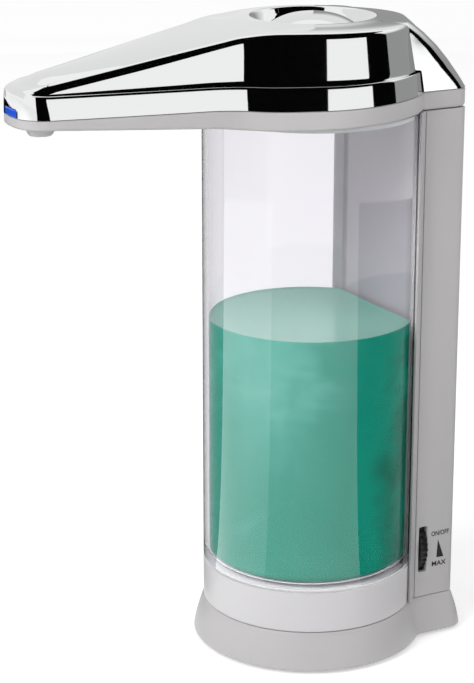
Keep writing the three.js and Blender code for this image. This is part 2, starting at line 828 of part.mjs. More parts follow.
function coverLevel(k, wall = 0) {
  const [rise, roll] = noseLevelShares[k];
  const common = { noseInset: noseRoll * roll + wall, noseZ: coverBottom + noseRise * rise, sideInset: wall };
  if (k < bandShares.length) {
    const z = coverBottom + coverRidge * bandShares[k];
    return { ...common, circleInset: bandInsets[k] + wall, spoutInset: () => bandInsets[k] + wall,
      z, spoutZ: () => z, back: backAt(z) - wall, crown: crownAt(z) };
  }
  const share = k === bandShares.length ? 0 : wallShares[k - bandShares.length - 1];
  const insetAt = (top) =>
    mix(ledgeInset, shoulderInset, Math.min(1, (top - ledgeTop) / (shoulderZ - ledgeTop)) * share);
  const z = mix(ledgeTop, shoulderZ, share);
  const spoutInset = (y) => insetAt(shoulderAt(y)) + wall;
  return { ...common, circleInset: insetAt(shoulderZ) + wall, spoutInset,
    z, spoutZ: (y) => mix(ledgeTop, shoulderAt(y), share), back: backAt(z) - wall, crown: crownAt(z) };
}

// Crown of the cover, from the shoulder up to the middle line and the filler's rim
function crownHeight(x, y) {
  const dome = headRadius - shoulderInset;
  const radial = shoulderZ + domeRise * Math.max(0, 1 - (x * x + y * y) / dome ** 2);
  if (y > -rimRadius) return radial;
  const middle = rimZ - crownDrop * ((-y - rimRadius) / (noseReach - rimRadius)) ** 2;
  const share = (y - spoutTipY) / (spoutRootY - spoutTipY);
  const drawn = mix(noseRoll, shoulderInset, Math.min(1, share));
  const spoutHalf = mix(spoutTipHalf, spoutRootHalf, share) - drawn;
  const circleHalf = Math.sqrt(Math.max(0, dome ** 2 - y * y));
  const half = Math.max(spoutHalf, circleHalf);
  const crowned = shoulderAt(y) + (middle - shoulderAt(y)) * (1 - Math.min(1, (x / half) ** 2));
  const blend = Math.min(1, (-y - rimRadius) / (dome - rimRadius));
  return mix(radial, crowned, blend * blend * (3 - 2 * blend));
}

const crownShares = [0.06, 0.22, 0.48, 0.76, 1];
const innerCrownShares = [0.06, 1];
const edgeBlendShare = 0.6;
const innerDropShares = [0, 0.9];
const dishShares = [0.5, 0.74];
const underDishShares = [0.4, 0.7];
function crownRings(shoulder, rim, drop, shares) {
  return shares.map((share) => shoulder.map(([x, y, z]) => {
    const reach = rim / Math.hypot(x, y);
    const [px, py] = [mix(x, x * reach, share), mix(y, y * reach, share)];
    const height = crownHeight(px, py) - drop;
    return [px, py, share === shares[0] ? mix(z, height, edgeBlendShare) : height];
  }));
}
const roundRing = (like, radius, z) => like.map(([x, y]) => {
  const reach = radius / Math.hypot(x, y);
  return [x * reach, y * reach, z];
});

const holeRadius = fillerBore + 2 * gap;
function coverSkin() {
  const last = noseLevelShares.length - 1;
  const outer = noseLevelShares.map((_, k) => headRing(coverLevel(k)));
  const inner = [0, last].map((k, i) => {
    const level = coverLevel(k, coverWall);
    const lower = coverWall * innerDropShares[i];
    const spoutZ = (y) => level.spoutZ(y) - lower;
    return headRing({ ...level, z: level.z - lower, spoutZ, noseZ: level.noseZ - lower });
  });
  const dish = [
    [mix(rimRadius, dishRadius, dishShares[0]), mix(rimZ, dishZ, dishShares[1])],
    [dishRadius, dishZ],
    [holeRadius, dishZ],
    [holeRadius, dishZ - coverWall],
    [dishRadius + coverWall / 2, dishZ - coverWall],
    [
      mix(rimRadius, dishRadius, underDishShares[0]) + coverWall,
      mix(rimZ, dishZ, underDishShares[1]) - coverWall / 2,
    ],
  ];
  const shoulder = outer.at(-1);
  return skin([
    ...outer,
    ...crownRings(shoulder, rimRadius, 0, crownShares),
    ...dish.map(([radius, z]) => roundRing(shoulder, radius, z)),
    ...crownRings(inner.at(-1), rimRadius + coverWall, coverWall, innerCrownShares).reverse(),
    ...inner.reverse(),
  ], true);
}

const indicatorBlock = (clear) => block(
  -indicatorHalf - clear, indicatorHalf + clear,
  -noseReach - overrun, -noseReach + indicatorDepth + clear,
  coverBottom - (clear ? overrun : 0), coverBottom + indicatorHeight + clear,
);
const wholeCover = coverSkin();
piece("head_cover", cut(wholeCover, indicatorBlock(gap)), chrome);
piece("indicator_window", wholeCover.intersect(indicatorBlock(0)), blueLens);

// Head tray: a shallow pan under the cover that rises towards the nozzle
const undersideAt = (y) =>
  headBottom + trayRise * Math.min(1, Math.max(0, trayRiseStart - y) / (trayRiseStart - nozzleY));
const flatRing = (inset, z) => headRing({
  circleInset: inset, spoutInset: () => inset, noseInset: inset, sideInset: inset, back: headBack - inset,
  z, spoutZ: () => z, noseZ: z,
});

// What lies under the spout's rising line, across the whole width
function underSpout(lift) {
  const front = -noseReach - overrun;
  const line = [
    [trayRiseStart, undersideAt(trayRiseStart) + lift],
    [nozzleY, undersideAt(nozzleY) + lift],
    [front, undersideAt(front) + lift],
    [front, headBottom - overrun],
    [trayRiseStart, headBottom - overrun],
  ];
  const geometry = new THREE.ExtrudeGeometry(shapeOf(line), { depth: 2 * headRadius, bevelEnabled: false });
  geometry.translate(0, 0, -headRadius);
  geometry.applyMatrix4(new THREE.Matrix4().makeBasis(
    new THREE.Vector3(0, 1, 0), new THREE.Vector3(0, 0, 1), new THREE.Vector3(1, 0, 0)));
  return solid(geometry);
}

const trayBody = cut(skin([
  flatRing(trayEdge, headBottom),
  flatRing(0, headBottom + trayEdge),
  flatRing(0, trayTop),
]), underSpout(0));
const trayHollow = cut(skin([
  flatRing(trayWall, headBottom + trayFloor),
  flatRing(trayWall, trayTop + overrun),
]), underSpout(trayFloor));
const sensorOutline = (clear) => roundedRectangle(
  -sensorWidth / 2 - clear, sensorWidth / 2 + clear,
  sensorY - sensorLength / 2 - clear, sensorY + sensorLength / 2 + clear,
  sensorCorner + clear,
);
const floorAt = (y) => undersideAt(y) + trayFloor;
const sensorBoardZ = coverBottom + sensorBoardLift - trayHeight - boardThickness / 2;
const sensorPostYs = [-1, 1].map((side) => sensorY + side * (sensorBoardLength / 2 - ledRadius));
const nozzleMouth = headBottom - nozzleDrop;

function headTray() {
  let tray = cut(trayBody, trayHollow);
  const lipInset = lipOuter;
  tray = join(
    tray,
    prism(insetD(lipInset), headBottom - trayLipDepth, headBottom + trayFloor / 2, [
      insetD(lipInset + trayLipThickness).reverse(),
    ]),
    moved(turned([
      [0, nozzleMouth],
      [nozzleRadius - nozzleDrop, nozzleMouth],
      [nozzleRadius - nozzleDrop / 3, nozzleMouth + nozzleDrop / 3],
      [nozzleRadius, nozzleMouth + nozzleDrop],
      [nozzleRadius, floorAt(nozzleY) - trayFloor / 2],
      [0, floorAt(nozzleY) - trayFloor / 2],
    ], 24), 0, nozzleY, 0),
    ...sensorPostYs.map((y) => post(ledRadius, floorAt(y) - trayFloor / 2, sensorBoardZ - gap, 0, y, 10)),
  );
  return cut(
    tray,
    post(nozzleBore, nozzleMouth - overrun, trayTop, 0, nozzleY, 24),
    prism(sensorOutline(gap), headBottom - overrun, trayTop),
    post(fillerBore + fillerWall + gap, headBottom - overrun, trayTop, 0, 0, fine),
    post(tubeRadius + 2 * gap, headBottom - overrun, trayTop, tubeRiseX, tubeRiseY),
    post(cableRadius + 2 * gap, headBottom - overrun, trayTop, cableX, cableY),
    ...[-headBossHalf, headBossHalf].map((x) =>
      post(screwRadius + gap, headBottom - overrun, trayTop, x, headBossY)),
  );
}

const sensorWindow = () =>
  cut(trayBody, trayHollow).intersect(prism(sensorOutline(0), headBottom - overrun, trayTop));

piece("head_tray", headTray(), greyPlastic);
piece("sensor_window", sensorWindow(), smokedPlastic);
for (const [side, x] of [["left", -headBossHalf], ["right", headBossHalf]]) {
  const top = headBottom + trayFloor + gap + screwHeadHeight;
  piece(`head_screw_${side}`, screw(screwGrip).rotate([180, 0, 0]), steel, x, headBossY, top);
}

// Filler neck, its cap and the cap's seal
const neckFlangeZ = headBottom + trayFloor + gap;
const neckTop = dishZ - coverWall - gap;
piece("filler_neck", turned([
  [fillerBore, headBottom - fillerDepth],
  [fillerBore + fillerWall, headBottom - fillerDepth],
  [fillerBore + fillerWall, neckFlangeZ],
  [fillerFlange, neckFlangeZ],
  [fillerFlange, neckFlangeZ + fillerFlangeThickness],
  [fillerBore + fillerWall, neckFlangeZ + fillerFlangeThickness],
  [fillerBore + fillerWall, neckTop],
  [fillerBore, neckTop],
  [fillerBore, headBottom - fillerDepth],
]), whitePlastic);

const capZ = dishZ + gap;
const plugBottom = capZ - capPlugDepth;
const capDome = 5;
const capProfile = [
  [0, capZ],
  [capPlugRadius - capPlugWall, capZ],
  [capPlugRadius - capPlugWall, plugBottom],
  [capLipRadius, plugBottom],
  [capLipRadius, plugBottom + capLipThickness],
  [capPlugRadius, plugBottom + capLipThickness],
  [capPlugRadius, capZ],
  [capRadius - 2 * gap, capZ],
  [capRadius, capZ + 2 * gap],
  [capRadius, capZ + capEdge],
  ...Array.from({ length: capDome }, (_, i) => {
    const share = 1 - (i + 1) / (capDome + 1);
    return [capRadius * share, capZ + capEdge + capRise * (1 - share ** capPower)];
  }),
  [0, capZ + capEdge + capRise],
];
piece("fill_cap", turned(capProfile), chrome);
piece("fill_cap_seal", turned([
  [capPlugRadius + gap, plugBottom + capLipThickness + gap],
  [sealRadius, plugBottom + capLipThickness + gap + gap],
  [sealRadius, plugBottom + capLipThickness + sealHeight],
  [capPlugRadius + gap, plugBottom + capLipThickness + gap + sealHeight],
  [capPlugRadius + gap, plugBottom + capLipThickness + gap],
]), rubber);

// Nozzle with its valve, the sensor's board and lamps, and the indicator lamp
const nozzleFlangeZ = floorAt(nozzleY) + gap;
const nozzleFoot = nozzleFlangeZ - nozzleFlangeThickness - gap;
piece("nozzle", moved(cut(
  turned([
    [0, nozzleFoot],
    [nozzleBore - gap, nozzleFoot],
    [nozzleBore - gap, nozzleFlangeZ],
    [nozzleFlange, nozzleFlangeZ],
    [nozzleFlange, nozzleFlangeZ + nozzleFlangeThickness],
    [nozzleSpigot, nozzleFlangeZ + nozzleFlangeThickness],
    [nozzleSpigot, nozzleFlangeZ + nozzleFlangeThickness + nozzleSpigotHeight],
    [0, nozzleFlangeZ + nozzleFlangeThickness + nozzleSpigotHeight],
  ], 24),
  post(inletBore, nozzleFoot - overrun, trayTop + nozzleSpigotHeight + 2 * overrun, 0, 0, 12),
), 0, nozzleY, 0), whitePlastic);
piece("nozzle_valve", cut(
  post(valveRadius, nozzleMouth + valveInset, nozzleFoot - gap, 0, nozzleY, 20),
  block(
    -valveRadius / 2, valveRadius / 2, nozzleY - gap / 2, nozzleY + gap / 2,
    nozzleMouth - overrun, nozzleMouth + valveInset + slitDepth,
  ),
), siliconeClear);

const sensorBoard = roundedRectangle(
  -sensorBoardHalf, sensorBoardHalf,
  sensorY - sensorBoardLength / 2, sensorY + sensorBoardLength / 2,
  ledRadius,
);
piece("sensor_board", prism(sensorBoard, sensorBoardZ, sensorBoardZ + boardThickness), boardGreen);
const lampTip = () => turned([
  [0, 0],
  [ledRadius * lampTipShare, 0],
  [ledRadius, ledRadius / 2],
  [ledRadius, ledRadius],
  [0, ledRadius],
], 12);
for (const [name, side] of [["infrared_emitter", -1], ["infrared_receiver", 1]]) {
  const y = sensorY + (side * ledSpacing) / 2;
  const tip = floorAt(sensorY) + gap;
  piece(name, join(
    post(ledRadius, tip + ledRadius / 2, sensorBoardZ - gap, 0, y, 12),
    moved(lampTip(), 0, y, tip),
  ), name.endsWith("emitter") ? siliconeClear : smokedPlastic);
}
piece("indicator_lamp", pin(
  ledRadius,
  -noseReach + indicatorDepth + 2 * gap,
  -noseReach + indicatorDepth + 2 * gap + ledHeight,
  0,
  coverBottom + indicatorHeight / 2,
  12,
), blueLens);

// Volume dial: a knurled wheel that stands a little out of the column's side
function dialOutline() {
  const points = [];
  for (let i = 0; i < 2 * dialTeeth; i += 1) {
    const angle = (Math.PI * i) / dialTeeth;
    const radius = i % 2 ? dialRadius - dialToothDepth : dialRadius;
    points.push([dialX + radius * Math.cos(angle), dialZ + radius * Math.sin(angle)]);
  }
  return points;
}
const dialFront = dialY - dialThickness / 2;
const dialRear = dialY + dialThickness / 2;
piece("volume_dial", prismY(dialOutline(), dialFront, dialRear, [
  circle(dialHub + gap, coarse, dialX, dialZ).reverse(),
]), blackPlastic);
const potBack = controlBoardY - controlBoardThickness / 2 - gap;
piece("dial_potentiometer", join(
  prismY(rectangle(dialX - potSide / 2, dialX + potSide / 2, dialZ - potSide / 2, dialZ + potSide / 2),
    dialRear + gap, potBack),
  pin(dialHub, dialFront, dialRear + 2 * gap, dialX, dialZ),
), blackPlastic);

// Control board with its chip, two capacitors and a plug for the sensor's cable
function controlBoard() {
  const front = controlBoardY - controlBoardThickness / 2;
  const rear = controlBoardY + controlBoardThickness / 2;
  const middle = (boardBottom + boardTop) / 2;
  const partDepth = controlBoardThickness + gap;
  return join(
    prismY(rectangle(controlBoardLeft, controlBoardRight, boardBottom, boardTop), front, rear),
    block(
      controlBoardLeft / 2, -controlBoardLeft / 4, front - partDepth, front + gap,
      middle - potSide / 3, middle + potSide / 3,
    ),
    ...[-1, 1].map((side) => pin(
      standoffRadius, front - 2 * partDepth, front + gap,
      (side * controlBoardLeft) / 3, boardTop - 2 * standoffRadius, 12,
    )),
    block(
      potSide, 2 * potSide, front - 2 * partDepth, front + gap,
      boardTop - potSide / 2, boardTop - standoffRadius / 2,
    ),
  );
}
piece("control_board", controlBoard(), boardGreen);

// Batteries: a tray that opens to the back, four cells in two columns, and their contacts
const cellTrayFront = shellFront + gap;
const cellTrayBack = columnBack - doorThickness - 2 * gap;
const cellY = cellTrayFront + cellTrayFloor + gap + cellRadius;
const columnSpace = [doorZ0 + cellTrayWall, doorZ1 - cellTrayWall];
const springLength = columnSpace[1] - columnSpace[0] - 2 * cellLength - linkThickness - 5 * gap;

function batteryTray() {
  const box = block(-cellTrayHalf, cellTrayHalf, cellTrayFront, cellTrayBack, doorZ0, doorZ1);
  const pocket = (from, to) => block(
    from, to, cellTrayFront + cellTrayFloor, cellTrayBack + overrun, columnSpace[0], columnSpace[1]);
  const rib = cellSpacing / 2 - cellRadius - gap;
  const ribTop = columnSpace[1] - 2 * linkThickness - springLength;
  const hollow = join(
    pocket(-cellTrayHalf + cellTrayWall, -rib),
    pocket(rib, cellTrayHalf - cellTrayWall),
    block(-2 * rib, 2 * rib, cellTrayFront + cellTrayFloor, cellTrayBack + overrun, ribTop, columnSpace[1]),
  );
  return cut(box, hollow);
}

const cell = () => turned([
  [0, 0],
  [cellRadius - gap, 0],
  [cellRadius, gap],
  [cellRadius, cellLength - cellButtonHeight - gap],
  [cellRadius - gap, cellLength - cellButtonHeight],
  [cellButtonRadius, cellLength - cellButtonHeight],
  [cellButtonRadius, cellLength],
  [0, cellLength],
], 16);

class Coil extends THREE.Curve {
  getPoint(share) {
    const angle = 2 * Math.PI * springTurns * share;
    const radius = springRadius * (1 - share / 4);
    const rise = springWire / 2 + (springLength - springWire) * share;
    return new THREE.Vector3(radius * Math.cos(angle), radius * Math.sin(angle), rise);
  }
}
const coilSpring = () => sweep(new Coil(), springWire / 2, 8 * springTurns, 5);

piece("battery_tray", batteryTray(), blackPlastic);
const leftFoot = columnSpace[0] + springLength + 2 * gap;
const rightHead = columnSpace[0] + gap + cellLength;
const cellX = cellSpacing / 2;
piece("battery_1", cell(), cellJacket, -cellX, cellY, leftFoot);
piece("battery_2", cell(), cellJacket, -cellX, cellY, leftFoot + cellLength + gap);
piece("battery_3", cell().rotate([180, 0, 0]), cellJacket, cellX, cellY, rightHead);
piece("battery_4", cell().rotate([180, 0, 0]), cellJacket, cellX, cellY, rightHead + cellLength + gap);
piece("contact_spring_left", coilSpring(), steel, -cellX, cellY, columnSpace[0] + gap);
const linkBottom = columnSpace[1] - gap - linkThickness;
piece("contact_spring_right", coilSpring().rotate([180, 0, 0]), steel, cellX, cellY, linkBottom - gap);
const linkEnd = cellX + springRadius;
piece("contact_link", prism(
  roundedRectangle(-linkEnd, linkEnd, cellY - springRadius, cellY + springRadius, springWire, 2),
  linkBottom,
  linkBottom + linkThickness,
), brass);

// Battery door: swings out about its bottom edge
function batteryDoor() {
  const plate = prismY(
    roundedRectangle(-doorHalf, doorHalf, doorZ0, doorZ1, doorCorner),
    columnBack - doorThickness,
    columnBack,
  );
  const scoopZ = doorZ1 - 2 * thumbRadius;
  const scoop = pin(thumbRadius, columnBack - thumbDepth, columnBack + overrun, 0, scoopZ, 24);
  const ribs = [-1, 0, 1].map((i) => {
    const z = scoopZ + (i * thumbRadius) / 2;
    const front = columnBack - thumbDepth;
    return block(-thumbRadius, thumbRadius, front, columnBack + 2 * overrun, z - gap, z + gap);
  });
  return cut(plate, cut(scoop, ...ribs));
}
piece("battery_door", batteryDoor(), greyPlastic);

// Gear pump under the tank: a body with two chambers, its cover, and two meshing gears
const gearRootRadius = gearPitchRadius * gearRootShare;
const gearTipRadius = gearPitchRadius * gearTipShare;
const gearSpread = -2 * outletX;
const chamberRadius = gearTipRadius + chamberClearance;

// One involute tooth after another; the flank leaves the base circle, and starts radially below it
function gearOutline(turn) {
  const pitch = gearPitchRadius;
  const base = pitch * Math.cos(degrees(20));
  const spread = (radius) => {
    const roll = Math.sqrt(Math.max(0, (radius / base) ** 2 - 1));
    return roll - Math.atan(roll);
  };
  const halfTooth = Math.PI / 2 / gearTeeth - gearBacklash / 2 / pitch;
  const flank = [gearRootRadius, Math.max(base, gearRootRadius), (base + gearTipRadius) / 2, gearTipRadius];
  const points = [];
  for (let tooth = 0; tooth < gearTeeth; tooth += 1) {
    const middle = turn + (2 * Math.PI * tooth) / gearTeeth;
    const side = flank.map((radius) => [radius, halfTooth + spread(pitch) - spread(Math.max(radius, base))]);
    for (const [radius, angle] of side) {
      points.push([radius * Math.cos(middle - angle), radius * Math.sin(middle - angle)]);
    }
    for (const [radius, angle] of [...side].reverse()) {
      points.push([radius * Math.cos(middle + angle), radius * Math.sin(middle + angle)]);
    }
  }
  return points;
}

const gearFront = pumpFront + gap;
const gearBack = gearFront + gearWidth;
const chamberBack = gearBack + gap;
const portZ = pumpZ - chamberRadius;
const pumpHalfHeight = pumpZ - pumpBottom;
const pumpOutline = roundedRectangle(
  -gearSpread - chamberRadius - pumpWall, chamberRadius + pumpWall,
  pumpZ - pumpHalfHeight, pumpZ + pumpHalfHeight, pumpWall);
const shaftBore = pumpShaftRadius + gap;

function pumpBody() {
  const body = join(
    prismY(pumpOutline, pumpFront, pumpBack),
    post(inletRadius, pumpTop - overrun, nippleTop, outletX, outletY, 20),
  );
  return cut(
    body,
    pin(chamberRadius, pumpFront - overrun, chamberBack, 0, pumpZ, 20),
    pin(chamberRadius, pumpFront - overrun, chamberBack, -gearSpread, pumpZ, 20),
    block(
      outletX - inletBore, outletX + inletBore, pumpFront - overrun, chamberBack,
      portZ - inletBore, pumpZ,
    ),
    post(inletBore, pumpZ, nippleTop + overrun, outletX, outletY, 12),
    pin(shaftBore, chamberBack - overrun, pumpBack + overrun, 0, pumpZ),
    pin(shaftBore, chamberBack - overrun, pumpBack - overrun, -gearSpread, pumpZ),
  );
}

const coverFace = pumpFront - gap;
const pumpCoverFront = coverFace - pumpCoverThickness;
const pumpCover = () => cut(
  join(
    prismY(pumpOutline, pumpCoverFront, coverFace),
    pin(tubeRadius, pumpCoverFront - outletLength, pumpCoverFront + gap, outletX, portZ),
  ),
  pin(inletBore, pumpCoverFront - outletLength - overrun, coverFace + overrun, outletX, portZ, 12),
  pin(shaftBore, pumpCoverFront + overrun, coverFace + overrun, -gearSpread, pumpZ),
);

const gear = (turn) => prismY(gearOutline(turn), gearFront, gearBack, [circle(shaftBore, 12).reverse()]);
piece("pump_body", pumpBody(), whitePlastic);
piece("pump_cover", pumpCover(), whitePlastic);
piece("drive_gear", gear(0), palePlastic, 0, 0, pumpZ);
piece("driven_gear", gear(Math.PI / gearTeeth + Math.PI), palePlastic, -gearSpread, 0, pumpZ);
const axle = pin(pumpShaftRadius, pumpCoverFront + overrun + gap, pumpBack - overrun - gap, 0, 0, 12);
piece("driven_axle", axle, steel, -gearSpread, 0, pumpZ);

// Motor: a flat-sided can in a cradle, its shaft through the pump's back wall
const canOutline = (clear) => {
  const half = Math.acos(motorFlat / motorRadius);
  const radius = motorRadius + clear;
  const right = arc(0, 0, radius, half - Math.PI / 2, Math.PI / 2 - half, 10);
  return [...right, ...right.map(([x, z]) => [-x, -z])].map(([x, z]) => [x, z + pumpZ]);
};
piece("motor_can", cut(
  prismY(canOutline(0), motorFront, motorRear),
  pin(shaftBore, motorFront - overrun, motorFront + 3 * pumpShaftRadius, 0, pumpZ),
), steel);
const shaft = pin(pumpShaftRadius, gearFront, motorFront + 3 * pumpShaftRadius - gap, 0, 0, 12);
piece("motor_shaft", shaft, steel, 0, 0, pumpZ);
const cradleOuter = motorRadius + gap + cradleWall;
piece("motor_cradle", cut(
  block(
    -cradleOuter, cradleOuter, motorFront + 2 * cradleWall, motorRear - 2 * cradleWall,
    pumpBottom, pumpZ - pumpShaftRadius,
  ),
  prismY(canOutline(gap), motorFront, motorRear),
), blackPlastic);

// Delivery tube from the pump up the column to the nozzle, and the sensor's cable beside it
const tubeStart = pumpCoverFront - outletLength - gap;
const spigotTop = nozzleFlangeZ + nozzleFlangeThickness + nozzleSpigotHeight;
const raised = (points, base) => points.map(([x, y, z]) => [x, y, z + base]);
const tubeRoute = [
  [outletX, tubeStart, portZ], [outletX, -17, 7], [-14, -22, 8], [-23, -14, 9], [-24.5, 0, 9.5],
  [tubeRiseX - 2, 17, 10], [tubeRiseX + 1.5, 30, 11], [tubeRiseX + 2, 35, 12.4], [tubeRiseX, tubeRiseY, 18],
  [tubeRiseX, tubeRiseY, 26],
  ...raised([
    [tubeRiseX, tubeRiseY, -100], [tubeRiseX, tubeRiseY, 0], [tubeRiseX, tubeRiseY, 7.5],
    [tubeRiseX - 1, 31, 13.5],
    [-23, 10, 14.5], [-20, -15, 14.5], [-12, -40, 13.5], [-5, -65, 13.5], [0, nozzleY + 15, 14.5],
    [0, nozzleY + 6, 15.9], [0, nozzleY, 14.7],
  ], headBottom),
  [0, nozzleY, spigotTop + gap],
];
piece("delivery_tube", routed(tubeRoute, tubeRadius, 36), siliconeClear);
const boardFace = sensorBoardZ + boardThickness;
const cableRoute = [
  [cableX, cableY, boardTop + gap], [cableX, cableY, 90],
  ...raised([
    [cableX, cableY, 0.5], [cableX, cableY, 6.5], [cableX + 1, 38, 11.5], [23.5, 10, 12], [20, -15, 11.5],
    [12, -40, 11], [6, sensorY + 24, 11], [4, sensorY + 14, 11.5], [4, sensorY + 9, 11.3],
  ], headBottom),
  [4, sensorY + 8, boardFace + gap],
];
piece("sensor_cable", routed(cableRoute, cableRadius, 24), whitePlastic);

export default dispenser;
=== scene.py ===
# %% [markdown]
# Automatic soap dispenser. The construction is loaded as a fixed frame of solids in metres, and this
# file gives it its looks: smooth skins over the forms that show, finishes, a studio and a camera.

# %% Load the frame
import json
import math
import bpy
import bmesh
from mathutils import Matrix, Vector

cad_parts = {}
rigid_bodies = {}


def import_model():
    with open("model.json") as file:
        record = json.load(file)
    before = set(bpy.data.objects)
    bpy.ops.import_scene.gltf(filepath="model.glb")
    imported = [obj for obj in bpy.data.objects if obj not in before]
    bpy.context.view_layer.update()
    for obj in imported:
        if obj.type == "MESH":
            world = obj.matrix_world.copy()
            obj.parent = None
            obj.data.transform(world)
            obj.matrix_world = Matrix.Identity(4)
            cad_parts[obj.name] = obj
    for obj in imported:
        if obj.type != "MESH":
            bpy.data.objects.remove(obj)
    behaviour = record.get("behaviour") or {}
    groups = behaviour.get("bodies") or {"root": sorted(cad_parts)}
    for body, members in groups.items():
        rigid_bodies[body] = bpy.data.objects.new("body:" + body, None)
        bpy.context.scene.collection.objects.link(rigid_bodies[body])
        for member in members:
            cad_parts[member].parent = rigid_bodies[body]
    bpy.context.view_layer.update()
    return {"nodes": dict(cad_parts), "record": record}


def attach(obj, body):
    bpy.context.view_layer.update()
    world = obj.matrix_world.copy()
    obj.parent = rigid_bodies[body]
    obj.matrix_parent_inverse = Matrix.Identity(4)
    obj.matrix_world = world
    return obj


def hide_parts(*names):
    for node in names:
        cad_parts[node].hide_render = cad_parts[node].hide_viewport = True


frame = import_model()
MM = 0.001
JAR_Y = 34.35       # the jar's axis in the shared frame, in millimetres

# %% [markdown]
# The camera stands where the photographer's did. Its place and turn were worked out from the tank's
# circles and the column's upright edges, so an object of the same size lines up with the photograph.

# %% Camera
IMAGE_WIDTH, FOCAL_PX, SENSOR = 474, 2141.0, 36.0
CAMERA_PLACE = Vector((707.3, -407.1 + JAR_Y, 369.63))
turn, tilt = math.radians(27.9), math.radians(16.84)
forward = Vector((-math.cos(turn) * math.cos(tilt), math.sin(turn) * math.cos(tilt), -math.sin(tilt)))
right = Vector((math.sin(turn), math.cos(turn), 0))
upward = right.cross(forward)

camera_data = bpy.data.cameras.new("camera")
camera_data.sensor_fit = "HORIZONTAL"
camera_data.sensor_width = SENSOR
camera_data.lens = FOCAL_PX / IMAGE_WIDTH * SENSOR
camera_data.clip_start = 0.01
camera = bpy.data.objects.new("camera", camera_data)
bpy.context.scene.collection.objects.link(camera)
axes = Matrix((right, upward, -forward)).transposed().to_4x4()
camera.matrix_world = Matrix.Translation(CAMERA_PLACE * MM) @ axes
bpy.context.scene.camera = camera
print("lens", round(camera_data.lens, 2))

# %% [markdown]
# Every finish is a node material. Colours are written as the sRGB hex values that a paint chart or a
# photograph gives, and one function turns them to the linear values that the shader wants. A second one
# adds a node: `links` feed its inputs, `values` set them, and the other words set the node itself. The
# short ones below it add the nodes that come back often, and give their output.

# %% Helpers for finishes
def linear(hex_colour):
    values = [int(hex_colour[i:i + 2], 16) / 255 for i in (1, 3, 5)]
    return tuple(v / 12.92 if v <= 0.04045 else ((v + 0.055) / 1.055) ** 2.4 for v in values) + (1.0,)


def add_node(owner, kind, links=None, values=None, **settings):
    node = owner.node_tree.nodes.new(kind)
    for key, value in settings.items():
        setattr(node, key, value)
    for socket, value in (values or {}).items():
        node.inputs[socket].default_value = value
    for socket, source in (links or {}).items():
        owner.node_tree.links.new(source, node.inputs[socket])
    return node


def place_in(owner):
    return add_node(owner, "ShaderNodeTexCoord").outputs["Object"]


def noise(owner, place, size_mm, detail, distortion=0.0):
    values = {"Scale": 1 / (size_mm * MM), "Detail": detail, "Distortion": distortion}
    return add_node(owner, "ShaderNodeTexNoise", {"Vector": place}, values).outputs["Fac"]


def maths(owner, operation, first, second):
    plain = isinstance(second, float)
    return add_node(owner, "ShaderNodeMath", {0: first} if plain else {0: first, 1: second},
                    {1: second} if plain else None, operation=operation).outputs["Value"]


def ranged(owner, source, low, high, start, end, curve="LINEAR"):
    """Carries a value from low and high to start and end, and holds it between those two."""
    values = {"From Min": low, "From Max": high, "To Min": start, "To Max": end}
    node = add_node(owner, "ShaderNodeMapRange", {"Value": source}, values, interpolation_type=curve)
    return node.outputs["Result"]


def ramp(owner, source, stops):
    """A colour ramp through (position, colour) stops, of which the first is at 0."""
    node = add_node(owner, "ShaderNodeValToRGB", {"Fac": source})
    elements = node.color_ramp.elements
    elements[0].color = stops[0][1]
    elements[1].position, elements[1].color = stops[-1]
    for position, colour in stops[1:-1]:
        elements.new(position).color = colour
    return node.outputs["Color"]


def finish(name, colour, roughness, **sockets):
    material = bpy.data.materials.new(name)
    material.use_nodes = True
    shader = material.node_tree.nodes["Principled BSDF"]
    shader.inputs["Base Color"].default_value = linear(colour)
    shader.inputs["Roughness"].default_value = roughness
    for socket, value in sockets.items():
        shader.inputs[socket.replace("_", " ")].default_value = value
    return material


def join_shader(material, source, socket):
    material.node_tree.links.new(source, material.node_tree.nodes["Principled BSDF"].inputs[socket])


# %% [markdown]
# A moulded plastic is never quite flat. Its tool is spark-eroded, which leaves a grain of about a third of
# a millimetre, and its gloss drifts a little from place to place. The grain bumps the surface, and a
# broader noise moves the colour and the roughness by a few hundredths.

# %% Moulded grain
def grain(material, size_mm, depth_mm, gloss_drift=0.0, tone_drift=0.0, drift_mm=35):
    shader = material.node_tree.nodes["Principled BSDF"]
    place = place_in(material)
    fine = noise(material, place, size_mm, 2.0)
    bump = add_node(material, "ShaderNodeBump", {"Height": fine}, {"Distance": depth_mm * MM, "Strength": 0.6})
    join_shader(material, bump.outputs["Normal"], "Normal")
    if not gloss_drift:
        return material
    broad = noise(material, place, drift_mm, 3.0)
    base = shader.inputs["Roughness"].default_value
    gloss = ranged(material, maths(material, "ADD", fine, broad), 0.7, 1.3, base - gloss_drift, base + gloss_drift)
    join_shader(material, gloss, "Roughness")
    if tone_drift:
        amount = ranged(material, broad, 0.3, 0.7, 1 - tone_drift, 1 + tone_drift)
        tint = add_node(material, "ShaderNodeHueSaturation", {"Value": amount},
                        {"Color": tuple(shader.inputs["Base Color"].default_value)})
        join_shader(material, tint.outputs["Color"], "Base Color")
    return material


# %% [markdown]
# The housing is satin ABS in a light grey, and the collar under the jar is a shade paler. The cover and
# the cap are ABS plated with bright chrome, which is a mirror with a very slight ripple from the
# moulding below. Nylon, rubber, silicone and the metals are hidden or small, and get their usual looks.

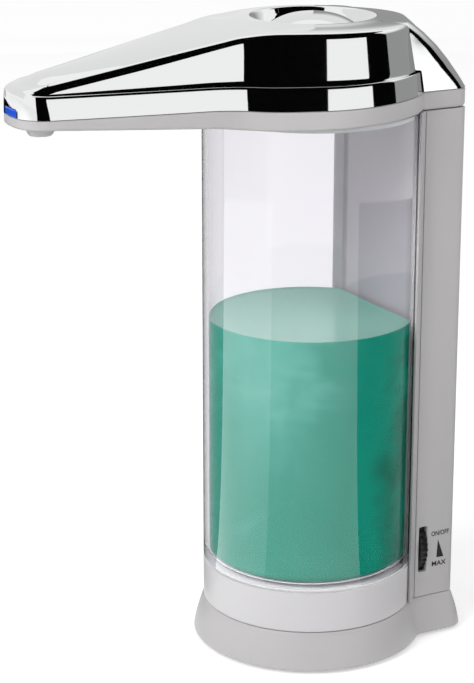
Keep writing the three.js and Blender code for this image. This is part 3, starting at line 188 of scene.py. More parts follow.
# %% Finishes
BY_SLOT = {
    "grey_plastic": grain(finish("satin grey ABS", "#c0bebf", 0.42), 0.35, 0.012, 0.05, 0.012),
    "pale_plastic": grain(finish("satin pale ABS", "#d3d1d3", 0.36), 0.35, 0.01, 0.05, 0.01),
    "white_plastic": grain(finish("natural moulded nylon", "#e4e2dc", 0.45), 0.4, 0.01, 0.05, 0.015),
    "black_plastic": grain(finish("black moulded ABS", "#161617", 0.4), 0.3, 0.012, 0.06),
    "smoked_plastic": grain(finish("smoked infrared acrylic", "#1c1216", 0.08, IOR=1.49), 2.0, 0.002),
    "chromed_plastic": grain(finish("chrome-plated ABS", "#eceded", 0.045, Metallic=1.0), 9.0, 0.004),
    "black_rubber": grain(finish("black rubber", "#222223", 0.8), 0.5, 0.02, 0.08),
    "clear_silicone": grain(finish("milky silicone", "#dfe3e1", 0.35, Transmission_Weight=0.4), 0.6, 0.006),
    "blue_lens": grain(finish("blue lens", "#2457d6", 0.12, IOR=1.49), 2.0, 0.002),
    "board": grain(finish("green circuit board", "#1e5638", 0.45), 1.2, 0.01, 0.06),
    "cell_jacket": grain(finish("battery foil jacket", "#8d9194", 0.3, Metallic=0.9), 1.5, 0.006, 0.05),
    "brass_strip": grain(finish("brass strip", "#b9975a", 0.3, Metallic=1.0), 0.5, 0.005, 0.05),
    "steel": grain(finish("zinc-plated steel", "#b4b6b8", 0.3, Metallic=1.0), 0.6, 0.006, 0.06),
}
ink = grain(finish("pad-printed ink", "#2b2b2e", 0.55), 0.3, 0.004, 0.05)
print("finishes:", *BY_SLOT)

# %% [markdown]
# The jar is clear styrene. Light would bend at each of its two faces, and a real wall bends it twice, so
# the pair of faces hardly shifts what lies behind: a low refractive index draws that. A coat with a high
# one on the outer face gives the reflection of both faces together, and the inner face has none. Just
# above the collar, where the floor meets the wall, a pale, cloudy finish paints the glow of light seen
# through the thick clear floor.

# %% Clear jar
CLEAR = dict(IOR=1.1, Transmission_Weight=1.0)
acrylic = grain(finish("clear styrene", "#f4f3f6", 0.015, Coat_Weight=1.0, Coat_IOR=1.65, Coat_Roughness=0.03,
                       **CLEAR), 14.0, 0.006)
acrylic_inside = grain(finish("clear styrene, inner face", "#f4f3f6", 0.015, **CLEAR), 14.0, 0.006)
# A pale, cloudy finish for the faces round the floor: painted light, for the glow seen through the thick clear
# floor.
pale_rim_painted_glow = grain(finish("styrene rim with painted glow", "#f6f6f8", 0.3, IOR=1.2, Transmission_Weight=0.2), 3.0, 0.004)

# %% [markdown]
# The soap is a pearly liquid: fine mica flakes lined up where it was poured. Across the jar its colour
# carries painted light: a green edge, a painted highlight over the front, and painted shade that deepens
# to dark green at the column. Fine veils lie nearly level in the upper half, and broad clouds curl below
# them. It wets the wall, so hardly anything is reflected there.

# %% Pearly soap
soap = finish("pearly hand soap", "#3fa08c", 0.3, IOR=1.4, Specular_IOR_Level=0.1)
soap_place = place_in(soap)
height = add_node(soap, "ShaderNodeSeparateXYZ", {"Vector": soap_place}).outputs["Z"]
across = add_node(soap, "ShaderNodeVectorMath", {0: soap_place}, {1: (0.5, 0.87, 0.0)}, operation="DOT_PRODUCT")
# Painted light and shade across the jar: a painted highlight over the front, and painted shade that darkens the
# green towards the column.
PAINTED_LIGHT_ACROSS = (0.0, 0.34), (0.2, 0.56), (0.45, 0.53), (0.62, 0.42), (0.8, 0.2), (0.92, 0.1), (1.0, 0.0)
painted_light_across = ramp(soap, ranged(soap, across.outputs["Value"], -0.01, 0.07, 0.0, 1.0),
                    [(share, (pearly, pearly, pearly, 1.0)) for share, pearly in PAINTED_LIGHT_ACROSS])
stretched = add_node(soap, "ShaderNodeMapping", {"Vector": soap_place},
                     {"Location": (0.0, 0.03, 0.0), "Rotation": (0.1, -0.06, 0.0), "Scale": (0.3, 0.3, 1.0)})
veils = maths(soap, "MULTIPLY", noise(soap, stretched.outputs["Vector"], 5, 2.0, 0.4),
              ranged(soap, height, 0.085, 0.11, 0.04, 0.3))
clouds = maths(soap, "MULTIPLY", noise(soap, soap_place, 40, 3.0, 1.6), 0.4)
# The painted light and shade, the clouds and the veils add up, and the tones turn the sum to colour: their dark
# end is painted shade at the column, and their pale end is partly a painted highlight.
pearl_and_painted_light = maths(soap, "ADD", painted_light_across, maths(soap, "SUBTRACT", maths(soap, "ADD", clouds, veils), 0.27))
TONES = ((0.0, "#00654f"), (0.14, "#008a72"), (0.3, "#00836d"), (0.46, "#1f8773"), (0.6, "#3f9785"),
         (0.8, "#62a898"))
join_shader(soap, ramp(soap, pearl_and_painted_light, [(share, linear(tone)) for share, tone in TONES]), "Base Color")
# The soap's level top: a lighter copy of the soap's colour, which paints the light falling on the top.
soap_top_painted_lighter = grain(finish("soap surface", "#7fb8a8", 0.18, IOR=1.4, Specular_IOR_Level=0.3), 25.0, 0.05)

# %% [markdown]
# Each node of the construction names a slot, and the finish of that slot goes onto it. The pieces that
# are made again below take their finish from the same table, so both look alike.

# %% Finishes by slot
BY_SLOT.update(clear_plastic=acrylic, liquid_soap=soap)
for part in frame["record"]["subparts"]:
    node = bpy.data.objects[part["node"]]
    node.data.materials.clear()
    node.data.materials.append(BY_SLOT[part["material_slot"]])

# %% [markdown]
# The construction is faceted, so each form that shows is made again as a smooth skin of the same size.
# A skin is a row of rings. All rings of a skin have the same number of points, and its faces join them
# point to point. That keeps control of every level, where one subdivided block would round off the crisp
# ledges. Outlines are written in millimetres about the jar's own axis, and move into the shared frame
# when they become points.

# %% Outlines
def mix(a, b, share):
    return a + (b - a) * share


def arc(x, y, radius, start, end, steps):
    return [(x + radius * math.cos(start + (end - start) * i / steps),
             y + radius * math.sin(start + (end - start) * i / steps)) for i in range(steps + 1)]


def mirrored(half):
    return half + [(-point[0], *point[1:]) for point in reversed(half)]


def at(outline, z):
    return [(x, y, z) for x, y in outline]


def standing(outline, y):
    """An outline of x and z, stood up at y."""
    return [(x, y, z) for x, z in outline]


def stacked(ring, levels):
    """One ring for each pair of an inset and a height, or a place along another axis."""
    return [ring(inset, height) for inset, height in levels]


def flat_backed(radius, flat_y, steps=150):
    """A circle with its back cut flat."""
    end = math.asin(flat_y / radius)
    return arc(0, 0, radius, -math.pi - end, end, steps)


def keyhole(radius, half, back, corner, blend, steps=64):
    """A circle with a square block behind it, blended into each other at the sides."""
    meet_y = math.sqrt((radius + blend) ** 2 - (half + blend) ** 2)
    meet = math.atan2(meet_y, half + blend)
    first = -math.pi / 2 + (meet + math.pi / 2) / (2 * steps + 1)
    return mirrored(arc(0, 0, radius, first, meet, steps)
                    + arc(half + blend, meet_y, blend, meet + math.pi, math.pi, 8)[1:]
                    + arc(half - corner, back - corner, corner, 0, math.pi / 2, 8))


def rounded_box(x, y, half_x, half_y, radius, steps=8):
    quarter, corners = math.pi / 2, ((1, -1, -1), (1, 1, 0), (-1, 1, 1), (-1, -1, 2))
    return [point for side_x, side_y, turns in corners for point in arc(
        x + side_x * (half_x - radius), y + side_y * (half_y - radius), radius, quarter * turns,
        quarter * (turns + 1), steps)]


# %% [markdown]
# A bmesh becomes a piece in one place. It gets smooth faces, sharp edges where two faces meet steeply, a
# finish, unless one is given that of the CAD node's slot, and the body of the CAD node that it stands for.

# %% From a bmesh to a piece
BODY_OF = {node: body for body, nodes in frame["record"]["behaviour"]["bodies"].items() for node in nodes}
SLOT_OF = {part["node"]: part["material_slot"] for part in frame["record"]["subparts"]}


def shade(bm, sharp_deg):
    for face in bm.faces:
        face.smooth = True
    for edge in bm.edges:
        edge.smooth = len(edge.link_faces) == 2 and edge.calc_face_angle(0) < math.radians(sharp_deg)


def link_object(name, bm, materials=()):
    mesh = bpy.data.meshes.new(name)
    bm.to_mesh(mesh)
    bm.free()
    for material in materials:
        mesh.materials.append(material)
    piece = bpy.data.objects.new(name, mesh)
    bpy.context.scene.collection.objects.link(piece)
    return piece


def make_piece(name, bm, nodes, materials=None, sharp_deg=32):
    shade(bm, sharp_deg)
    piece = link_object(name, bm, materials or [BY_SLOT[SLOT_OF[nodes[0]]]])
    print(name, len(piece.data.polygons), "faces, for", *nodes)
    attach(piece, BODY_OF[nodes[0]])
    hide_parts(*nodes)
    return piece


def skin(bm, rings, caps=(True, True), on_itself=False):
    """Joins rings of points in millimetres into one closed shell in metres, inside the given bmesh. A cap is
    one flat face, or with "across" a ladder from side to side, which may bend along the outline. A skin on
    itself has no caps: its last ring joins its first."""
    corners, loops = [], []
    for ring in rings:
        verts = [bm.verts.new((x * MM, (y + JAR_Y) * MM, z * MM)) for x, y, z in ring]
        corners.append(verts)
        loops.append([bm.edges.new((verts[i - 1], verts[i])) for i in range(len(verts))])
    pairs = list(zip(corners, corners[1:] + corners[:1] if on_itself else corners[1:]))
    faces = [bm.faces.new((low[i - 1], low[i], high[i], high[i - 1])) for low, high in pairs
             for i in range(len(low))]
    for wanted, loop in zip(() if on_itself else caps, (loops[0], loops[-1])):
        if wanted == "across":
            middle = len(loop) // 2
            faces += bmesh.ops.bridge_loops(bm, edges=loop[1:middle] + loop[middle + 1:])["faces"]
        elif wanted:
            faces += bmesh.ops.contextual_create(bm, geom=loop)["faces"]
    bmesh.ops.recalc_face_normals(bm, faces=faces)
    return faces


def turned(bm, profile, centre, along="Z", steps=72):
    """Spins a profile of (radius, height) in millimetres about an upright axis, or one along Y."""
    before = set(bm.verts)
    verts = [bm.verts.new((radius * MM, 0, z * MM)) for radius, z in profile]
    edges = [bm.edges.new(pair) for pair in zip(verts, verts[1:])]
    bmesh.ops.spin(bm, geom=verts + edges, cent=(0, 0, 0), axis=(0, 0, 1), steps=steps, angle=2 * math.pi,
                   use_merge=True)
    shell = [vert for vert in bm.verts if vert not in before]
    bmesh.ops.remove_doubles(bm, verts=shell, dist=1e-7)
    shell = [vert for vert in shell if vert.is_valid]
    bmesh.ops.recalc_face_normals(bm, faces=list({face for vert in shell for face in vert.link_faces}))
    lay = Matrix.Rotation(math.radians(-90), 4, "X") if along == "Y" else Matrix()
    x, y, z = centre
    place = Matrix.Translation(Vector((x, y + JAR_Y, z)) * MM)
    bmesh.ops.transform(bm, matrix=place @ lay, verts=shell)


def skinned(rings, **how):
    bm = bmesh.new()
    skin(bm, rings, **how)
    return bm


def spun(profile, centre, **how):
    bm = bmesh.new()
    turned(bm, profile, centre, **how)
    return bm


# %% [markdown]
# Openings, such as the slot for the dial, are cut as a toolmaker would: the plain wall is made first, and
# a cutter with the opening's outline goes through it. A Boolean modifier does that and is applied at
# once, so the piece that stays is a plain mesh. The cutter is then thrown away.

# %% Cutting openings
def carve(piece, *cutters, sharp_deg=32):
    for bm in cutters:
        modifier = piece.modifiers.new("opening", "BOOLEAN")
        modifier.operation, modifier.solver = "DIFFERENCE", "EXACT"
        modifier.object = link_object("cutter", bm)
    tools = [modifier.object for modifier in piece.modifiers]
    cut = bpy.data.meshes.new_from_object(piece.evaluated_get(bpy.context.evaluated_depsgraph_get()))
    piece.modifiers.clear()
    piece.data = cut
    for tool in tools:
        bpy.data.objects.remove(tool)
    rework(piece, lambda bm: bmesh.ops.remove_doubles(bm, verts=bm.verts, dist=1e-7), sharp_deg)


def rework(piece, work, sharp_deg=32):
    """Opens a finished piece, does some work on its bmesh, such as adding closed shells, and shades it anew."""
    bm = bmesh.new()
    bm.from_mesh(piece.data)
    work(bm)
    shade(bm, sharp_deg)
    bm.to_mesh(piece.data)
    bm.free()
    print(piece.name, "now has", len(piece.data.polygons), "faces")


def upright_block(outline, z0, z1):
    return skinned([at(outline, z0), at(outline, z1)])


def level_block(outline, y0, y1):
    return skinned([standing(outline, y0), standing(outline, y1)])

# %% [markdown]
# The jar is a clear moulding with a flat back. It is skinned outside and in as one closed wall, so light
# bends at both faces. The faces that look inwards get the finish without a coat, and all the faces round
# its floor the pale one that paints the glow of light through the thick floor. It casts no shadow of its
# own, because a clear jar hardly does, and the soap and the column behind it keep theirs.

# %% Jar
COLUMN_HALF = 28.0
TANK_R, TANK_WALL, TANK_FLOOR = 42.5, 2.2, 1.4
TANK_BACK = math.sqrt(TANK_R ** 2 - COLUMN_HALF ** 2)
TANK_Z0, TANK_Z1 = 32.8, 217.2
FILLET, OUTER_ROUND, PALE_RIM_HEIGHT = 4.5, 1.2, 2.7


def d_ring(inset, z):
    return at(flat_backed(TANK_R - inset, TANK_BACK - inset), z)


def rounded_levels(inset, z0, radius, steps):
    turns = [math.pi / 2 * i / steps for i in range(steps + 1)]
    return [d_ring(inset + radius * (1 - math.sin(t)), z0 + radius * (1 - math.cos(t))) for t in turns]


outside = rounded_levels(0, TANK_Z0, OUTER_ROUND, 8) + [d_ring(0, TANK_Z1)]
inside = rounded_levels(TANK_WALL, TANK_Z0 + TANK_FLOOR, FILLET, 12) + [d_ring(TANK_WALL, TANK_Z1)]
bm = bmesh.new()
jar_faces = skin(bm, outside + inside[::-1])
bm.normal_update()
for face in jar_faces:
    middle = face.calc_center_median()
    outwards = face.normal.x * middle.x + face.normal.y * (middle.y - JAR_Y * MM)
    # The faces round the floor take the pale finish, which paints the glow of light through the thick floor.
    if middle.z < (TANK_Z0 + PALE_RIM_HEIGHT) * MM:
        face.material_index = 1
    elif outwards < 0:
        face.material_index = 2
jar = make_piece("tank_jar", bm, ["tank"], [acrylic, pale_rim_painted_glow, acrylic_inside])
jar.visible_shadow = False

# %% [markdown]
# The soap fills the jar up to a third of a millimetre from its wall. Along the wall its surface stands a
# little higher than in the middle, which gives it a thin dark line. The surface is a slot of its own, in a
# lighter copy of the soap's colour that paints the light falling on the top.

# %% Soap
SOAP_GAP, SOAP_DEPTH, SOAP_DIP = 0.3, 100.0, 0.65
soap_inset, soap_z0 = TANK_WALL + SOAP_GAP, TANK_Z0 + TANK_FLOOR + SOAP_GAP
soap_z1 = soap_z0 + SOAP_DEPTH
soap_levels = rounded_levels(soap_inset, soap_z0, FILLET, 12) + [
    d_ring(soap_inset + inset, soap_z1 - drop) for inset, drop in (
        (0, 0), (0.35, 0.1), (0.9, 0.45), (1.8, SOAP_DIP))]
bm = bmesh.new()
# The level top gets the lighter copy, painted light; the rest gets the soap's finish.
for face in skin(bm, soap_levels):
    face.material_index = int(face.calc_center_median().z > (soap_z1 - SOAP_DIP - 0.01) * MM)
make_piece("soap_fill", bm, ["liquid_soap"], [soap, soap_top_painted_lighter], sharp_deg=50)

# %% [markdown]
# A pale silicone ring seals the jar against the head. It hangs on the head's lip inside the jar's mouth,
# and its four edges are chamfered a little, so it is a skin of eight rings.

# %% Top seal
SEAL_Z1, SEAL_HEIGHT, SEAL_WALL, CHAMFER = 216.5, 1.8, 1.4, 0.3
seal_z0, seal_out = SEAL_Z1 - SEAL_HEIGHT, TANK_WALL + 0.3
seal_in = seal_out + SEAL_WALL
seal_rings = stacked(d_ring, (
    (seal_out + CHAMFER, seal_z0), (seal_out, seal_z0 + CHAMFER), (seal_out, SEAL_Z1 - CHAMFER),
    (seal_out + CHAMFER, SEAL_Z1), (seal_in - CHAMFER, SEAL_Z1), (seal_in, SEAL_Z1 - CHAMFER),
    (seal_in, seal_z0 + CHAMFER), (seal_in - CHAMFER, seal_z0)))
make_piece("jar_seal", skinned(seal_rings, on_itself=True), ["tank_top_seal"])

# %% [markdown]
# The head is one plan outline, drawn in by an inset that changes along the spout. Half of it runs from the
# nose round its corner, along the spout's straight side, over a bend onto the round part above the jar,
# and along the straight side to the flat back. Each point takes its height from where it lies along Y.

# %% Head outline
HEAD_R, HEAD_HALF, HEAD_BACK, HEAD_CORNER = 43.4, 28.3, 53.9, 5.0
NOSE_Y, NOSE_HALF, NOSE_BOW, TIP_Y, TIP_HALF = -124.9, 5.0, 0.45, -114.3, 15.6
NOSE_CORNER_IN, NOSE_CORNER_BACK = 2.3, 1.3
ROOT_Y, ROOT_HALF, FLANK, BULGE, ROOT_SHIFT = -47.5, 27.2, math.radians(24), 0.3, 0.35
FRONT_STEPS, BEND_STEPS, SIDE_STEPS, ARC_STEPS, BACK_STEPS = 10, 18, 30, 34, 10


def smooth_step(share):
    share = min(1.0, max(0.0, share))
    return share * share * (3 - 2 * share)


def curve2(a, b, c, t):
    return [(1 - t) ** 2 * p + 2 * t * (1 - t) * q + t ** 2 * r for p, q, r in zip(a, b, c)]


def meet(a, heading_a, b, heading_b):
    """Where two lines meet. A heading is an angle from +Y towards +X."""
    ax, ay, bx, by = math.sin(heading_a), math.cos(heading_a), math.sin(heading_b), math.cos(heading_b)
    run = ((b[0] - a[0]) * by - (b[1] - a[1]) * bx) / (ax * by - ay * bx)
    return a[0] + run * ax, a[1] + run * ay


def side_at(y):
    """Half the head's width at y, from the nose to the round part."""
    share = (y - TIP_Y) / (ROOT_Y - TIP_Y)
    straight = mix(TIP_HALF, ROOT_HALF, share) + 4 * BULGE * share * (1 - min(1.0, share))
    flank = HEAD_R * math.cos(FLANK) - math.tan(FLANK) * (-HEAD_R * math.sin(FLANK) - y)
    return max(straight, flank) if y < -HEAD_R * math.sin(FLANK) else math.sqrt(max(0, HEAD_R ** 2 - y ** 2))


# %% [markdown]
# One ring of the head is that outline drawn in. The nose, the spout's side and the round part are drawn in
# by amounts of their own, and the bend between them is made anew each time, so it stays smooth.

# %% Head ring
def head_ring(circle_inset, spout_inset, nose_inset, side_inset, back, crown, z, spout_z, nose_z,
              corner=HEAD_CORNER):
    half, radius = HEAD_HALF - side_inset, HEAD_R - circle_inset
    points = []

    def nose(x0, y0):
        share = (TIP_Y - y0) / (TIP_Y - NOSE_Y)
        narrowed = mix(spout_inset(y0), nose_inset, share)
        points.append((x0 * (1 - narrowed / TIP_HALF), y0 + nose_inset * share,
                       mix(spout_z(y0), nose_z, smooth_step(share))))

    for i in range(FRONT_STEPS):
        x = NOSE_HALF * (i + 0.5) / FRONT_STEPS
        nose(x, NOSE_Y + NOSE_BOW * (x / NOSE_HALF) ** 2)
    corner_point = TIP_HALF - NOSE_CORNER_IN, NOSE_Y + NOSE_CORNER_BACK
    for i in range(BEND_STEPS):
        nose(*curve2((NOSE_HALF, NOSE_Y + NOSE_BOW), corner_point, (TIP_HALF, TIP_Y), (i + 0.5) / BEND_STEPS))
    drawn = spout_inset(ROOT_Y)
    for i in range(SIDE_STEPS + 1):
        share = i / SIDE_STEPS
        y = mix(TIP_Y, ROOT_Y, share)
        moved = y + drawn * ROOT_SHIFT * share
        points.append((side_at(y) - spout_inset(y), moved, spout_z(moved)))
    first, root = (radius * math.cos(FLANK), -radius * math.sin(FLANK)), points[-1]
    knee = meet(root, math.atan2(root[0] - points[-2][0], root[1] - points[-2][1]), first, FLANK)
    reach = math.dist(root[:2], knee)
    past = knee[0] + reach * math.sin(FLANK), knee[1] + reach * math.cos(FLANK)
    flank = [curve2(root[:2], knee, past, i / 6) for i in range(1, 7)]
    flank += [(mix(past[0], first[0], i / 10), mix(past[1], first[1], i / 10)) for i in range(1, 10)]
    points += [(x, y, spout_z(y)) for x, y in flank]
    end = math.asin(math.sqrt(radius ** 2 - half ** 2) / radius)
    points += [(x, y, spout_z(y) if y < 0 else z) for x, y in arc(0, 0, radius, -FLANK, end, ARC_STEPS)]
    start_y, stop_y = radius * math.sin(end), back - corner
    points += [(half, mix(start_y, stop_y, share), z) for share in (0.04, 0.14, 0.4, 0.7, 0.9)]
    points += at(arc(half - corner, back - corner, corner, 0, math.pi / 2, 12), z)
    for i in range(BACK_STEPS):
        share = 1 - (i + 1) / (BACK_STEPS + 0.5)
        points.append(((half - corner) * share, back + crown * (1 - share ** 2), z))
    return mirrored(points)


# %% [markdown]
# The cover stacks that outline from below: a plain band with a rounded ledge, then a wall that leans in by
# 8 degrees and rolls over into the crown. At the nose the same levels follow a profile of their own, up to
# a lower edge. The shoulder is level over the jar and slopes down along the spout, with an eased start,
# and the back leans in along a large arc. The head's lower edge dips a millimetre at the jar's front.

# %% Cover levels
COVER_Z, SHOULDER_Z, FOOT_Z, FOOT_INSET, LEAN, CREST = 224.8, 250.6, 233.6, 3.15, math.radians(8), math.radians(50)
DOME_R, DOME_RISE, RIM_R, DISH_R, CROWN_DROP = 37.3, 3.6, 24.3, 18.6, 15.6
NOSE_RISE, NOSE_ROLL, RIDGE = 10.6, 3.4, 8.4
SLOPE_Y, SLOPE, SLOPE_EASE = -36.5, 0.191, 8
BACK_ARC, BACK_ARC_Z, BACK_CROWN = 71.2, 33.5, 7.2
DIP, DIP_START, DIP_DEEPEST, DIP_END, DIP_Z, DIP_RUN = 1.25, -58, -30, 30, 250, 25.2
RIM_Z = SHOULDER_Z + DOME_RISE * (1 - (RIM_R / DOME_R) ** 2)
DISH_Z = RIM_Z - 6.6


def shoulder_at(y):
    run = SLOPE_Y - y
    eased = (run + SLOPE_EASE) ** 2 / (4 * SLOPE_EASE) if abs(run) <= SLOPE_EASE else max(0.0, run)
    return SHOULDER_Z - SLOPE * eased


def back_at(z):
    level = BACK_ARC ** 2 - BACK_ARC_Z ** 2
    return HEAD_BACK - math.sqrt(level) + math.sqrt(BACK_ARC ** 2 - (z - COVER_Z + BACK_ARC_Z) ** 2)


def crown_at(z):
    return BACK_CROWN * (max(0.0, z - COVER_Z) / (SHOULDER_Z - COVER_Z)) ** 1.5


def wall_at(y, share):
    """The wall's inset and height: a leaning flat up to half its share, then the roll into the crown. From
    85 to 40 mm before the jar's axis the roll grows tighter and ends steeper."""
    round_part = smooth_step((y + 85) / 45)
    radius, steepest = mix(3.9, 2.7, round_part), math.radians(mix(59, 79, round_part))
    crest_z = shoulder_at(y) + mix(0.4, 0.2, round_part)
    start_z = max(FOOT_Z + 0.1, crest_z - radius * (math.sin(CREST) - math.sin(LEAN)))
    start = FOOT_INSET + math.tan(LEAN) * (start_z - FOOT_Z)
    if share <= 0.5:
        return mix(FOOT_INSET, start, share * 2), mix(FOOT_Z, start_z, share * 2)
    angle = mix(LEAN, steepest, share * 2 - 1)
    return (start + radius * (math.cos(LEAN) - math.cos(angle)),
            start_z + radius * (math.sin(angle) - math.sin(LEAN)))


def eased_down(ring):
    """Lowers the points about the jar's front, most of all the low ones."""
    eased = []
    for x, y, z in ring:
        rising = smooth_step((y - DIP_START) / (DIP_DEEPEST - DIP_START))
        dip = rising if y < DIP_DEEPEST else 1 - smooth_step((y - DIP_DEEPEST) / (DIP_END - DIP_DEEPEST))
        eased.append((x, y, z - DIP * dip * min(1.16, max(0.0, (DIP_Z - z) / DIP_RUN))))
    return eased


BAND = [(0, 0), (0.3, 0.3), (0.6, 0.65), (0.88, 0.95), (0.95, 1.1), (0.985, 1.35), (1.0, 1.75), (1.0, 2.9)]
WALL = [0, 0.06, 0.25, 0.42, 0.5, 0.57, 0.64, 0.71, 0.78, 0.85, 0.92, 1.0]
COUNT = len(BAND) + len(WALL)
NOSE_FRONT = [(0, 0), (0.245, 0.015), (0.48, 0.035), (0.69, 0.074), (0.745, 0.097), (0.783, 0.118),
              (0.811, 0.141), (0.83, 0.165)]
for step in range(len(WALL)):
    tipped = math.radians(mix(15, 75, step / (len(WALL) - 1)))
    rise, roll = 8.6 + 2.07 * math.sin(tipped), 0.55 + 3.85 * (1 - math.cos(tipped))
    NOSE_FRONT.append((rise / NOSE_RISE, roll / NOSE_ROLL))


def cover_level(k, wall=0.0):
    """Level k of the cover's outside, or of the inside where `wall` is its thickness."""
    rise, roll = NOSE_FRONT[k]
    if k < len(BAND):
        share, inset = BAND[k]
        z, corner = COVER_Z + RIDGE * share, mix(HEAD_CORNER, 7.5, share)
        along = lambda y: (inset, z)
    else:
        share = WALL[k - len(BAND)]
        (inset, z), corner = wall_at(0, share), mix(7.5, 9.0, share)
        along = lambda y: wall_at(y, share)
    return head_ring(circle_inset=inset + wall, spout_inset=lambda y: along(y)[0] + wall,
                     nose_inset=NOSE_ROLL * roll + wall, side_inset=wall, back=back_at(z) - wall,
                     crown=crown_at(z), z=z, spout_z=lambda y: along(y)[1],
                     nose_z=COVER_Z + NOSE_RISE * rise, corner=corner)


print("levels", COUNT, "rim of the dish at", round(RIM_Z, 2), "mm")

# %% [markdown]
# The crown's height is a formula of x and y: a shallow dome over the round part, and a nearly straight
# ridge that drops along the spout. The rings run from the shoulder in to the rim of the dish. Each of their
# points takes its height from that formula. Where the shoulder's own height differs from it, the gap fades
# over the first 9 mm, so the highlight flows without a break.

# %% Crown
RIDGE_BEND, RING_SPREAD, GAP_FADE = 1.15, 1.25, 9


def crown_height(x, y):
    radial = SHOULDER_Z + DOME_RISE * max(0.0, 1 - (x * x + y * y) / DOME_R ** 2)
    if y > -RIM_R:
        return radial
    middle = RIM_Z - CROWN_DROP * ((-y - RIM_R) / (-NOSE_Y - RIM_R)) ** RIDGE_BEND
    inset, edge_z = wall_at(y, 1.0)
    half = side_at(y) - inset
    crowned = edge_z + (middle - edge_z) * (1 - min(1.0, (x / half) ** 2))
    return mix(radial, crowned, smooth_step((-y - RIM_R) / (DOME_R - RIM_R)))


def crown_rings(shoulder, rim, drop, steps):
    rings = []
    for i in range(1, steps + 1):
        share = (i / steps) ** RING_SPREAD
        ring = []
        for x, y, z in shoulder:
            reach = rim / math.hypot(x, y)
            px, py = mix(x, x * reach, share), mix(y, y * reach, share)
            gap = z - (crown_height(x, y) - drop)
            gone = smooth_step(math.hypot(px - x, py - y) / GAP_FADE)
            ring.append((px, py, crown_height(px, py) - drop + gap * (1 - gone)))
        rings.append(ring)
    return rings


def round_ring(like, radius, z):
    return [(x * radius / math.hypot(x, y), y * radius / math.hypot(x, y), z) for x, y, _ in like]


# %% [markdown]
# The cover's dish and the hole for the filler's plug are turned forms, so their rings are circles with as
# many points as the outline. The last ring closes onto the first, which leaves a 2 mm wall all round. A
# cutter then opens the small window for the indicator in the front of the nose.

# %% Chrome cover
COVER_WALL, PLUG_HOLE_R, COVER_SHARP = 2.0, 13.9, 38
outer = [eased_down(cover_level(k)) for k in range(COUNT)]
inner = [eased_down(cover_level(k, COVER_WALL)) for k in (0, 5, 12, COUNT - 1)]
inner = [[(x, y, z - COVER_WALL * low) for x, y, z in ring] for ring, low in zip(inner, (0, 0.6, 0.8, 0.9))]
dish = [(RIM_R - 0.25, RIM_Z - 0.12), (RIM_R - 0.6, RIM_Z - 0.6), (23.0, RIM_Z - 2.0), (21.8, RIM_Z - 3.6),
        (20.6, RIM_Z - 5.2), (19.7, RIM_Z - 6.2), (DISH_R, DISH_Z), (PLUG_HOLE_R, DISH_Z),
        (PLUG_HOLE_R, DISH_Z - COVER_WALL), (DISH_R + 1, DISH_Z - COVER_WALL), (23.5, RIM_Z - 6.0),
        (25.6, RIM_Z - 3.4)]
cover_rings = (outer + crown_rings(outer[-1], RIM_R, 0, 26)
               + [round_ring(outer[-1], radius, z) for radius, z in dish]
               + crown_rings(inner[-1], RIM_R + COVER_WALL, COVER_WALL, 6)[::-1] + inner[::-1])
cover = make_piece("chrome_cover", skinned(cover_rings, on_itself=True), ["head_cover"], sharp_deg=COVER_SHARP)
WINDOW_HALF, WINDOW_HEIGHT = 5.2, 2.9
notch_half = (WINDOW_HEIGHT + 1.8) / 2
notch = rounded_box(0, COVER_Z - 1.5 + notch_half, WINDOW_HALF + 0.3, notch_half, 0.6, 4)
carve(cover, level_block(notch, NOSE_Y - 1, NOSE_Y + 3.3), sharp_deg=COVER_SHARP)

# %% [markdown]
# The indicator is a blue lens that fills the notch and follows the curve of the nose. It is a short bar
# with its front bowed like the cover's, so it is stacked from the same kind of outline.

# %% Indicator lens
def lens_ring(inset, z):
    half, front = WINDOW_HALF - inset, NOSE_Y + 0.12 + inset
    bow = [(half * i / 8, front + NOSE_BOW * (half * i / 8 / NOSE_HALF) ** 2) for i in range(-8, 9)]
    return at(bow + [(half, NOSE_Y + 2.9), (-half, NOSE_Y + 2.9)], z)


lens_rings = stacked(lens_ring, ((0.25, COVER_Z), (0, COVER_Z + 0.3), (0, COVER_Z + WINDOW_HEIGHT - 0.4),
                                 (0.3, COVER_Z + WINDOW_HEIGHT)))
make_piece("indicator_lens", skinned(lens_rings), ["indicator_window"])

# %% [markdown]
# The fill cap is a turned button. Spinning one profile about its axis makes it, with the edge and the
# domed top as smooth runs of points.

# %% Fill cap
CAP_R, CAP_Z, CAP_EDGE, CAP_RISE = 18.4, DISH_Z + 0.3, 2.2, 5.3
plug_z = CAP_Z - 9.1
cap_profile = [(0, CAP_Z), (9.4, CAP_Z), (9.4, plug_z + 0.3), (9.7, plug_z), (12.1, plug_z), (12.4, plug_z + 0.3),
               (12.4, plug_z + 1.2), (11.4, plug_z + 1.2), (11.4, CAP_Z), (CAP_R - 0.6, CAP_Z),
               (CAP_R - 0.15, CAP_Z + 0.2), (CAP_R, CAP_Z + 0.6), (CAP_R, CAP_Z + CAP_EDGE - 0.4)]
cap_profile += [(CAP_R * (1 - share ** 1.6), CAP_Z + CAP_EDGE + CAP_RISE * (1 - (1 - share ** 1.6) ** 2.4))
                for share in [i / 22 for i in range(1, 23)]]
make_piece("chrome_fill_cap", spun(cap_profile, (0, 0, 0), steps=96), ["fill_cap"])

# %% [markdown]
# Under the chrome sits the tray, a shallow pan in the housing's grey. Its underside is level below the
# round part and then climbs slowly to the nose, so its caps are ladders from side to side that can bend.
# The holes for the filler, the sensor, the nozzle, the tube and the screws are cut through its floor.

